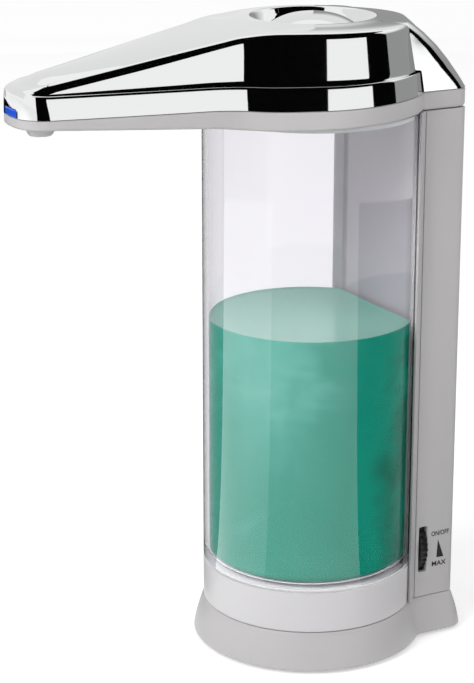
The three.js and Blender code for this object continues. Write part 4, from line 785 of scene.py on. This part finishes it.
# %% Head tray
TRAY_Z0, TRAY_Z1, TRAY_FLOOR, TRAY_WALL, TRAY_EDGE = 217.5, 224.5, 2.2, 2.0, 1.2
BELOW_FLOOR, OVER_FLOOR = TRAY_Z0 - 3, TRAY_Z0 + 6.6
NOZZLE_Y, SENSOR_Y, RISE_Y, RISE = -113.0, -92.0, -45.0, 3.3
SCREW_X, SCREW_Y, TUBE_X, TUBE_Y, CABLE_X, CABLE_Y = 11.3, 46.0, 21.2, 39.57, 21.2, 46.0


def underside(y):
    return TRAY_Z0 + RISE * min(1.0, max(0.0, RISE_Y - y) / (RISE_Y - NOZZLE_Y))


def tray_ring(inset, height):
    return eased_down(head_ring(circle_inset=inset, spout_inset=lambda y: inset, nose_inset=inset,
                                side_inset=inset, back=HEAD_BACK - inset, crown=0.0, z=height(0),
                                spout_z=height, nose_z=height(NOSE_Y)))


def above_underside(lift):
    return lambda y: underside(y) + lift


def level_top(drop):
    return lambda y: TRAY_Z1 - drop


tray_rings = [tray_ring(inset, above_underside(lift)) for inset, lift in (
    (TRAY_EDGE, 0), (0.75, 0.1), (0.3, 0.4), (0.08, 0.8), (0, TRAY_EDGE))]
tray_rings += [tray_ring(inset, level_top(drop)) for inset, drop in (
    (0, 0.35), (0.35, 0), (TRAY_WALL - 0.3, 0), (TRAY_WALL, 0.3))]
tray_rings.append(tray_ring(TRAY_WALL, above_underside(TRAY_FLOOR)))
tray = make_piece("spout_tray", skinned(tray_rings, caps=("across", "across")), ["head_tray"])


def disc(radius, x, y, steps=48):
    return arc(x, y, radius, 0, 2 * math.pi * (1 - 1 / steps), steps - 1)


def sensor_outline(grow):
    return rounded_box(0, SENSOR_Y, 5.0 + grow, 8.0 + grow, 2.0 + grow)


holes = [sensor_outline(0.3), disc(5.0, 0, NOZZLE_Y), disc(15.6, 0, 0), disc(2.6, -TUBE_X, TUBE_Y, 24),
         disc(1.5, CABLE_X, CABLE_Y, 24), disc(1.6, -SCREW_X, SCREW_Y, 24), disc(1.6, SCREW_X, SCREW_Y, 24)]
carve(tray, *[upright_block(outline, BELOW_FLOOR, OVER_FLOOR) for outline in holes])

# %% [markdown]
# The tray carries a short round boss for the nozzle, a lip that hangs into the jar's mouth, and two posts
# for the sensor's board. Each is a closed form of its own that stands in the pan's floor.

# %% Boss, lip and posts
MOUTH_Z = 216.75
boss_top = underside(NOZZLE_Y) + TRAY_FLOOR / 2
boss_profile = [(radius, MOUTH_Z + lift) for radius, lift in (
    (3.4, 0.25), (3.6, 0), (3.9, 0.03), (4.3, 0.25), (4.7, 0.75), (5.05, 1.5), (5.3, 2.5), (5.5, 3.5))]
boss_profile += [(5.9, boss_top - 0.9), (5.9, boss_top), (3.4, boss_top), boss_profile[0]]
LIP_OUT, LIP_IN, LIP_Z0, LIP_Z1 = 4.2, 6.0, 215.2, TRAY_Z0 + 1.1
lip_rings = stacked(d_ring, ((LIP_OUT + 0.3, LIP_Z0), (LIP_OUT, LIP_Z0 + 0.3), (LIP_OUT, LIP_Z1), (LIP_IN, LIP_Z1),
                             (LIP_IN, LIP_Z0 + 0.3), (LIP_IN - 0.3, LIP_Z0)))
post_profile = [(0, 0), (1.5, 0), (1.5, 3.9), (1.3, 4.1), (0, 4.1)]


def tray_fittings(bm):
    turned(bm, boss_profile, (0, NOZZLE_Y, 0), steps=64)
    skin(bm, lip_rings, on_itself=True)
    for y in (SENSOR_Y - 11.5, SENSOR_Y + 11.5):
        turned(bm, post_profile, (0, y, underside(y) + TRAY_FLOOR / 2), steps=24)


rework(tray, tray_fittings)

# %% [markdown]
# The sensor looks down through a smoked window, and the soap leaves through a small nylon nozzle with a
# soft valve, a disc with one slit that closes by itself. All three are flush with, or just inside, the
# underside, as on the real head.

# %% Sensor window, nozzle and valve
def window_ring(inset, lift):
    return [(x, y, underside(y) + lift) for x, y in sensor_outline(-inset)]


window_rings = stacked(window_ring, ((0.25, 0.0), (0.07, 0.07), (0, 0.25), (0, 2.0), (0.2, 2.2)))
make_piece("smoked_sensor_window", skinned(window_rings), ["sensor_window"])

nozzle_profile = [(1.2, 221.7), (1.4, 221.5), (2.9, 221.5), (3.1, 221.7), (3.1, 223.3), (6.8, 223.3),
                  (7.0, 223.5), (7.0, 224.6), (6.8, 224.8), (2.2, 224.8), (2.2, 227.9), (1.9, 228.4),
                  (1.2, 228.4), (1.2, 221.7)]
make_piece("drop_nozzle", spun(nozzle_profile, (0, NOZZLE_Y, 0), steps=48), ["nozzle"])

valve_profile = [(0, 217.05), (1.3, 216.98), (2.2, 216.85), (2.8, 216.8), (3.05, 216.95), (3.1, 217.2),
                 (3.1, 221.0), (2.9, 221.2), (0, 221.2)]
valve = make_piece("slit_valve", spun(valve_profile, (0, NOZZLE_Y, 0), steps=48), ["nozzle_valve"])
carve(valve, upright_block(rounded_box(0, NOZZLE_Y, 1.6, 0.14, 0.13, 3), 216.0, 217.9))

# %% [markdown]
# The filler neck is a turned nylon funnel with a flange. It only shows when the cap is lifted, through the
# hole in the dish, so its top edge is rounded and the rest stays plain.

# %% Filler neck and cap seal
neck_profile = [(13.3, 215.8), (13.6, 215.5), (15.0, 215.5), (15.3, 215.8), (15.3, 220.0), (17.7, 220.0),
                (18.0, 220.3), (18.0, 221.2), (17.7, 221.5), (15.3, 221.5), (15.3, 243.5), (15.0, 243.78),
                (13.6, 243.78), (13.3, 243.5), (13.3, 215.8)]
make_piece("filler_funnel", spun(neck_profile, (0, 0, 0)), ["filler_neck"])
seal_profile = [(radius, plug_z + 1.2 + lift) for radius, lift in (
    (11.7, 0.3), (12.4, 0.35), (13.0, 0.7), (12.7, 1.3), (13.0, 2.0), (12.7, 2.6), (13.0, 3.2), (12.6, 3.6),
    (11.7, 3.9), (11.7, 0.3))]
make_piece("cap_seal_ring", spun(seal_profile, (0, 0, 0), steps=64), ["fill_cap_seal"])

# %% [markdown]
# A real moulding has no knife edges. A small bevel eases every steep edge of a block before its openings
# are cut, because it's hard to bevel the short edges that a Boolean leaves.

# %% Easing edges
def ease(bm, width_mm, over_deg=50, segments=2):
    bmesh.ops.dissolve_degenerate(bm, edges=bm.edges, dist=1e-6)
    edges = [edge for edge in bm.edges
             if len(edge.link_faces) == 2 and edge.calc_face_angle(0) > math.radians(over_deg)]
    bmesh.ops.bevel(bm, geom=edges, offset=width_mm * MM, offset_type="OFFSET", affect="EDGES",
                    segments=segments, profile=0.5, material=-1, clamp_overlap=True)


# %% [markdown]
# The column is two mouldings that meet in a fine seam: a front panel whose ears wrap the jar's corners,
# and a rear shell. The panel has the same outline all the way up, so one outline between two heights
# makes it.

# %% Front panel
COLUMN_BACK, COLUMN_Z0, COLUMN_Z1, COLUMN_EASE = 53.3, 16.0, 217.2, 0.22
PANEL_FRONT, PANEL_BACK = TANK_BACK + 0.3, TANK_BACK + 2.3
EAR_FRONT, EAR_IN, EAR_OUT = TANK_BACK - 2.5, 42.8, 43.9
panel_half = (arc(0, 0, EAR_IN, math.asin(PANEL_FRONT / EAR_IN), math.asin(EAR_FRONT / EAR_IN), 8)
              + arc(0, 0, EAR_OUT, math.asin(EAR_FRONT / EAR_OUT), math.acos(COLUMN_HALF / EAR_OUT), 10)
              + [(COLUMN_HALF, PANEL_BACK)])
bm = upright_block(mirrored(panel_half), COLUMN_Z0, COLUMN_Z1)
ease(bm, COLUMN_EASE)
make_piece("eared_front_panel", bm, ["column_front_panel"])

# %% [markdown]
# The rear shell is a deep U in plan. Its cutters are a little wider at the outer face, which leaves the
# small chamfer that lets the door and the dial sit in their openings without a sharp rim.

# %% Rear shell
SHELL_FRONT, WALL, CORNER = TANK_BACK + 2.6, 2.0, 3.0
DOOR_HALF, DOOR_Z0, DOOR_Z1, DOOR_CORNER = 16.7, 60.0, 170.0, 2.5
DIAL_X, DIAL_Y, DIAL_Z, DIAL_R, DIAL_THICK = 16.8, SHELL_FRONT + 3.5, 36.5, 13.0, 3.2
SLOT_HALF_Y, SLOT_HALF_Z = 1.9, 9.78


def shell_half(inset, corner):
    half, back = COLUMN_HALF - inset, COLUMN_BACK - inset
    return [(half, SHELL_FRONT)] + arc(half - corner, back - corner, corner, 0, math.pi / 2, 12)


shell_outline = mirrored(shell_half(0, CORNER)) + mirrored(shell_half(WALL, 1.0))[::-1]
bm = upright_block(shell_outline, COLUMN_Z0, COLUMN_Z1)
ease(bm, COLUMN_EASE)
shell = make_piece("column_shell", bm, ["column_rear_shell"])


def door_ring(inset, y):
    middle, half = (DOOR_Z0 + DOOR_Z1) / 2, (DOOR_Z1 - DOOR_Z0) / 2
    return standing(rounded_box(0, middle, DOOR_HALF - inset, half - inset, DOOR_CORNER - inset), COLUMN_BACK + y)


def slot_ring(inset, x):
    outline = rounded_box(DIAL_Y, DIAL_Z, SLOT_HALF_Y - inset, SLOT_HALF_Z - inset, 0.7 - inset, 6)
    return [(COLUMN_HALF + x, y, z) for y, z in outline]


door_cutter = skinned(stacked(door_ring, ((-0.3, -3), (-0.3, -0.25), (-0.55, 0), (-0.55, 1))))
slot_cutter = skinned(stacked(slot_ring, ((0, -3), (0, -0.3), (-0.3, 0), (-0.3, 1))))
carve(shell, door_cutter, slot_cutter)

# %% [markdown]
# Inside, the shell has a screw boss at each lower and upper corner, tied to the back wall by a web, and four
# short standoffs that carry the control board. They show when the battery door is open.

# %% Bosses and standoffs
BOSS_HEIGHT = 11


def shell_fittings(bm):
    tube = [(1.4, 0), (3.0, 0), (3.2, 0.2), (3.2, BOSS_HEIGHT - 0.2), (3.0, BOSS_HEIGHT), (1.4, BOSS_HEIGHT),
            (1.4, 0)]
    for half, z0 in ((17.0, COLUMN_Z0), (11.3, COLUMN_Z1 - BOSS_HEIGHT)):
        for x in (-half, half):
            turned(bm, tube, (x, COLUMN_BACK - 7.3, z0), steps=32)
            web = rounded_box(x, COLUMN_BACK - 3.25, 1.6, 1.35, 0.2, 3)
            skin(bm, [at(web, z0 + 0.3), at(web, z0 + BOSS_HEIGHT - 0.3)])
    for x in (-8.0, 19.0):
        for z in (33.5, 53.5):
            turned(bm, [(0, 0), (2.0, 0), (2.0, 4.6), (0, 4.6)], (x, COLUMN_BACK - 6.1, z), along="Y", steps=24)


rework(shell, shell_fittings)

# %% [markdown]
# The battery door lies flush in the back. It has a round thumb scoop with three ribs near its top, where
# a thumb pulls it open, and its edge is eased all round.

# %% Battery door
SCOOP_Z, SCOOP_R, SCOOP_DEPTH = DOOR_Z1 - 12.0, 6.0, 0.9
door = make_piece("battery_hatch", skinned(stacked(door_ring, ((0, -2), (0, -0.35), (0.1, -0.1), (0.35, 0)))),
                  ["battery_door"])
scoop_profile = [(0, 0), (SCOOP_R - 0.7, 0), (SCOOP_R - 0.25, 0.15), (SCOOP_R, 0.5), (SCOOP_R + 0.15, SCOOP_DEPTH),
                 (SCOOP_R + 0.15, 2), (0, 2)]
carve(door, spun(scoop_profile, (0, COLUMN_BACK - SCOOP_DEPTH, SCOOP_Z), along="Y", steps=64))


def scoop_ribs(bm):
    for lift in (-3.0, 0.0, 3.0):
        z, half = SCOOP_Z + lift, math.sqrt((SCOOP_R - 0.6) ** 2 - lift ** 2)
        outline, top = rounded_box(0, z, half, 0.35, 0.3, 4), rounded_box(0, z, half - 0.2, 0.15, 0.12, 4)
        skin(bm, [standing(outline, COLUMN_BACK - SCOOP_DEPTH - 0.1), standing(outline, COLUMN_BACK - 0.35),
                  standing(top, COLUMN_BACK - 0.12)])


rework(door, scoop_ribs)

# %% [markdown]
# The volume dial is a knurled wheel that stands 1.8 mm out of its slot. Its outline is a circle with 32
# soft teeth, which a cosine gives, and it closes onto the hub's hole.

# %% Volume dial
TEETH, STEPS_PER_TOOTH, TOOTH_HALF_DEPTH, HUB_R = 32, 10, 0.225, 3.3


def dial_ring(radius_at, y):
    turns = [2 * math.pi * i / (TEETH * STEPS_PER_TOOTH) for i in range(TEETH * STEPS_PER_TOOTH)]
    return [(DIAL_X + radius_at(turn) * math.cos(turn), y, DIAL_Z + radius_at(turn) * math.sin(turn))
            for turn in turns]


def wheel_ring(inset, y):
    middle = DIAL_R - TOOTH_HALF_DEPTH - inset
    return dial_ring(lambda turn: middle + TOOTH_HALF_DEPTH * math.cos(TEETH * turn), y)


def hub_ring(y):
    return dial_ring(lambda turn: HUB_R, y)


dial_y0, dial_y1 = DIAL_Y - DIAL_THICK / 2, DIAL_Y + DIAL_THICK / 2
rim_rings = stacked(wheel_ring, ((0.5, dial_y0), (0.15, dial_y0 + 0.15), (0, dial_y0 + 0.5), (0, dial_y1 - 0.5),
                                 (0.15, dial_y1 - 0.15), (0.5, dial_y1)))
make_piece("knurled_dial", skinned([hub_ring(dial_y0), *rim_rings, hub_ring(dial_y1)], on_itself=True),
           ["volume_dial"], sharp_deg=60)

# %% [markdown]
# Beside the dial the housing is pad-printed with ON/OFF, a wedge and MAX. The words start as a text
# object, become a mesh, and are laid on the side face as a film of ink three hundredths of a millimetre
# thick. They are scaled to the size that the print has, so the typeface's own proportions don't matter.

# %% Printed legend
SIDE_X, INK = COLUMN_HALF + 0.01, 0.03
WEDGE = (44.7, 31.8), (48.1, 31.8), (45.25, 39.7)


def print_word(bm, word, y0, y1, z0, z1):
    """Makes a word and fits it to a patch of the side face, with its thickness along X."""
    text = bpy.data.curves.new(word, "FONT")
    text.body, text.extrude, text.offset, text.resolution_u = word, 0.02, 0.018, 3
    holder = bpy.data.objects.new(word, text)
    bpy.context.scene.collection.objects.link(holder)
    drawn = bpy.data.meshes.new_from_object(holder.evaluated_get(bpy.context.evaluated_depsgraph_get()))
    bpy.data.objects.remove(holder)
    word_bm = bmesh.new()
    word_bm.from_mesh(drawn)
    bmesh.ops.remove_doubles(word_bm, verts=word_bm.verts, dist=1e-5)
    low, high = [[pick(vert.co[i] for vert in word_bm.verts) for i in range(3)] for pick in (min, max)]
    for vert in word_bm.verts:
        u, v, w = [(vert.co[i] - low[i]) / (high[i] - low[i]) for i in range(3)]
        vert.co = Vector((SIDE_X + w * INK, mix(y0, y1, u) + JAR_Y, mix(z0, z1, v))) * MM
    bmesh.ops.recalc_face_normals(word_bm, faces=word_bm.faces)
    word_bm.to_mesh(drawn)
    word_bm.free()
    bm.from_mesh(drawn)
    bpy.data.meshes.remove(drawn)


bm = bmesh.new()
print_word(bm, "ON/OFF", 42.0, 50.4, 41.4, 43.5)
print_word(bm, "MAX", 42.6, 49.4, 28.2, 30.3)
skin(bm, [[(x, y, z) for y, z in WEDGE] for x in (SIDE_X, SIDE_X + INK)])
legend = link_object("dial_legend", bm, [ink])
print("legend", len(legend.data.polygons), "faces")
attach(legend, "housing")

# %% [markdown]
# The foot is a skirt that flares out towards the table. Its profile is a power curve, so the flare comes
# late and runs out flat, and its plan is the jar's circle blended into the column's block.

# %% Flared base
SKIRT_Z0, SKIRT_HEIGHT, FLARE, SIDE_FLARE, FLARE_POWER, PLATE_Z1 = 1.0, 14.7, 4.0, 3.5, 1.4, 3.3
skirt_top, step_share = SKIRT_Z0 + SKIRT_HEIGHT, 1 - (PLATE_Z1 - SKIRT_Z0) / SKIRT_HEIGHT


def skirt_ring(share, inset, z):
    reach = 1 - (1 - share) ** FLARE_POWER
    grow, side = FLARE * reach - inset, SIDE_FLARE * reach - inset
    return at(keyhole(TANK_R + grow, COLUMN_HALF + side, COLUMN_BACK + grow, 3.0 + max(side, 0.0),
                      1.5 + max(grow, 0.0)), z)


skirt_rings = [skirt_ring(*level) for level in (
    (1, 0.5, SKIRT_Z0), (1, 0.15, SKIRT_Z0 + 0.12), (1, 0, SKIRT_Z0 + 0.5),
    *((1 - i / 12, 0, SKIRT_Z0 + SKIRT_HEIGHT * i / 12) for i in range(1, 12)),
    (0, 0, skirt_top - 0.3), (0, 0.3, skirt_top), (0, 2.9, skirt_top), (0, 3.2, skirt_top - 0.3),
    (0, 3.2, skirt_top - 2.4), (0.2, 2.6, skirt_top - 2.4), (0.5, 2.6, 8.3), (step_share, 2.6, PLATE_Z1),
    (step_share, 1.4, PLATE_Z1), (step_share, 1.4, SKIRT_Z0))]
make_piece("flared_skirt", skinned(skirt_rings, on_itself=True), ["base_skirt"])

# %% [markdown]
# The collar is the pale ring that carries the jar. Its deck has a bore for the outlet, off the middle, so
# one ring of the skin is a circle about that bore. Four bosses hang down inside it for the base's screws.

# %% Collar
COLLAR_Z0, COLLAR_Z1, DECK, COLLAR_WALL = 16.0, 32.5, 2.2, 2.2
OUTLET_X, OUTLET_Y, OUTLET_R, BOSS_CIRCLE = -5.15, -4.05, 4.0, 34.9


def bore_ring(z):
    """A circle about the bore, with as many points as the collar's outline."""
    ring = []
    for x, y, _ in d_ring(0, z):
        reach = OUTLET_R / math.hypot(x - OUTLET_X, y - OUTLET_Y)
        ring.append((OUTLET_X + (x - OUTLET_X) * reach, OUTLET_Y + (y - OUTLET_Y) * reach, z))
    return ring


deck_z = COLLAR_Z1 - DECK
bm = skinned(stacked(d_ring, (
    (0.3, COLLAR_Z0), (0, COLLAR_Z0 + 0.3), (0, COLLAR_Z1 - 0.35), (0.1, COLLAR_Z1 - 0.1), (0.35, COLLAR_Z1)))
    + [bore_ring(COLLAR_Z1), bore_ring(deck_z)] + stacked(d_ring, (
        (COLLAR_WALL, deck_z), (COLLAR_WALL, COLLAR_Z0 + 0.2), (COLLAR_WALL - 0.3, COLLAR_Z0))), on_itself=True)
length = deck_z + 0.3 - PLATE_Z1
screw_boss = [(0, length), (0, 9), (1.4, 9), (1.4, 0), (3.0, 0), (3.2, 0.2), (3.2, length), (0, length)]
for angle in (30, 150, 215, 325):
    x, y = BOSS_CIRCLE * math.cos(math.radians(angle)), BOSS_CIRCLE * math.sin(math.radians(angle))
    turned(bm, screw_boss, (x, y, PLATE_Z1), steps=32)
make_piece("pale_collar", bm, ["tank_collar"])

# %% [markdown]
# What lies inside keeps the shape that the construction gives it. A copy of each such node is welded, so
# that its loose triangles become one surface, and shaded smooth except over its real edges. That is
# enough for gears, cells, springs and boards that show only when the door or the cap is open.

# %% Inner pieces
still_plain = [node for node in frame["nodes"] if not bpy.data.objects[node].hide_render]
for node in still_plain:
    bm = bmesh.new()
    bm.from_mesh(bpy.data.objects[node].data)
    bmesh.ops.remove_doubles(bm, verts=bm.verts, dist=2e-6)
    make_piece(node + "_welded", bm, [node], sharp_deg=38)
print("welded inner pieces:", len(still_plain))

# %% [markdown]
# The studio is plain: a pale floor, a white surround that metal and glass also see, and two soft lamps.
# The floor is white paper with a little glow of its own for the camera and for reflections only, so it
# reaches white without any extra light on the object, and the shadow stays.

# %% Floor and surround
FLOOR_SIZE, BELOW_FEET, FLOOR_GLOW, SURROUND_LIGHT = 6, -0.0005, 0.42, 0.55


def seen_rays(owner):
    """1 for rays from the camera, from gloss and through clear pieces, and 0 for the light on the object."""
    rays = add_node(owner, "ShaderNodeLightPath").outputs
    seen = maths(owner, "MAXIMUM", rays["Is Camera Ray"], rays["Is Glossy Ray"])
    return maths(owner, "MAXIMUM", seen, rays["Is Transmission Ray"])


floor_paint = finish("white paper sweep", "#f2f2f2", 0.9, Emission_Color=(1, 1, 1, 1))
glow = ranged(floor_paint, seen_rays(floor_paint), 0.0, 1.0, 0.0, FLOOR_GLOW)
join_shader(floor_paint, glow, "Emission Strength")
bm = bmesh.new()
bmesh.ops.create_grid(bm, x_segments=1, y_segments=1, size=FLOOR_SIZE / 2)
bmesh.ops.translate(bm, verts=bm.verts, vec=(0, 0, BELOW_FEET))
plane = link_object("floor", bm, [floor_paint])

world = bpy.data.worlds.new("studio")
bpy.context.scene.world = world
world.use_nodes = True
surround = world.node_tree.nodes["Background"]
surround.inputs["Color"].default_value = (1, 1, 1, 1)
level = ranged(world, seen_rays(world), 0.0, 1.0, SURROUND_LIGHT, 1.0)
world.node_tree.links.new(level, surround.inputs["Strength"])

# %% [markdown]
# A large soft lamp stands on the left, behind the camera, and a weak one fills the right. Gloss doesn't
# see them, because the chrome would show two bright squares that the photograph doesn't have.

# %% Lamps
def softbox(name, place, target, size, watts):
    data = bpy.data.lights.new(name, "AREA")
    data.shape = "RECTANGLE"
    data.size, data.size_y = size
    data.energy = watts
    lamp = bpy.data.objects.new(name, data)
    bpy.context.scene.collection.objects.link(lamp)
    aim = (Vector(target) - Vector(place)).to_track_quat("-Z", "Y").to_matrix().to_4x4()
    lamp.matrix_world = Matrix.Translation(Vector(place)) @ aim
    lamp.visible_glossy = False


MIDDLE = (0, 0, 0.12)
softbox("key", (0.4, -1.25, 1.1), MIDDLE, (0.8, 0.8), 14)
softbox("fill", (1.2, 0.8, 0.7), MIDDLE, (0.6, 0.9), 3)

# %% [markdown]
# Chrome shows its surroundings and nothing else. Dark cards out of the picture draw the black bands that
# polished chrome needs, and cards on the table, dark and bright, give the clear jar its upright veils.
# The grey and the pale card grow brighter towards their upper edge, where the far white wall goes on. All
# are strips bent about the jar's axis, and only reflections see them.

# %% Cards
def card(name, from_deg, to_deg, start, end, material):
    """Spins the straight line from start to end, both (distance, height) in metres, about the jar's axis."""
    bm = bmesh.new()
    turned_start = Matrix.Rotation(math.radians(from_deg), 4, "Z")
    ends = [bm.verts.new(turned_start @ Vector((distance, 0, height))) for distance, height in (start, end)]
    edge = bm.edges.new(ends)
    bmesh.ops.spin(bm, geom=[*ends, edge], cent=(0, 0, 0), axis=(0, 0, 1), steps=24,
                   angle=math.radians(to_deg - from_deg))
    bmesh.ops.translate(bm, verts=bm.verts, vec=(0, JAR_Y * MM, 0))
    piece = link_object(name, bm, [material])
    piece.visible_camera = piece.visible_diffuse = piece.visible_shadow = piece.visible_transmission = False


def lit(name, strength):
    return finish(name, "#000000", 1.0, Specular_IOR_Level=0.0, Emission_Color=(1, 1, 1, 1),
                  Emission_Strength=strength)


FAR_BRIGHTNESS = 0.84
black_card = finish("black flocked card", "#060606", 1.0, Specular_IOR_Level=0.0)
grey_card, pale_card = lit("dim grey card", 0.32), lit("pale grey card", 0.5)
wall_card = lit("far white wall", FAR_BRIGHTNESS)
bright_card = finish("lit white card", "#ffffff", 1.0, Emission_Color=(1, 1, 1, 1), Emission_Strength=0.9)
ROOM, WALL_AT, NEAR, EDGE = 1.6, 1.62, 0.075, 0.8
FLOOR_Z, CEILING_Z, GREY_TOP, PALE_TOP = -0.02, 1.7, 1.05, 0.27
for name, from_deg, to_deg, start, end, material in (
        ("tall card by the camera", -47, -14, (ROOM, FLOOR_Z), (ROOM, CEILING_Z), black_card),
        ("card over the side panel", -14, 33, (ROOM, 0.58), (ROOM, CEILING_Z), black_card),
        ("card behind the side panel", 33, 62, (ROOM, FLOOR_Z), (ROOM, CEILING_Z), black_card),
        ("ceiling card", -60, 88, (0.02, CEILING_Z), (ROOM, CEILING_Z), black_card),
        ("card at the far right", 62, 150, (ROOM, FLOOR_Z), (ROOM, GREY_TOP), grey_card),
        ("low card at the back", 150, 192, (ROOM, FLOOR_Z), (ROOM, PALE_TOP), pale_card),
        ("far white wall", 108, 262, (WALL_AT, PALE_TOP), (WALL_AT, 1.9), wall_card),
        ("bright strip on the table", -131, -69, (NEAR, 0.0), (EDGE, 0.0), bright_card),
        ("dark sheet on the table", 20, 140, (NEAR, 0.0), (EDGE, 0.0), black_card),
        ("dark sheet behind", 140, 229, (NEAR, 0.0), (1.5, 0.0), black_card)):
    card(name, from_deg, to_deg, start, end, material)
for dimmed, low, high in ((grey_card, 0.55, GREY_TOP), (pale_card, 0.12, PALE_TOP)):
    height = add_node(dimmed, "ShaderNodeSeparateXYZ", {"Vector": place_in(dimmed)}).outputs["Z"]
    own = dimmed.node_tree.nodes["Principled BSDF"].inputs["Emission Strength"].default_value
    rising = ranged(dimmed, height, low, high, own, FAR_BRIGHTNESS, "SMOOTHSTEP")
    join_shader(dimmed, rising, "Emission Strength")
bpy.context.scene.view_settings.view_transform = "Standard"
print("stage:", len(bpy.data.lights), "lamps and a white surround")
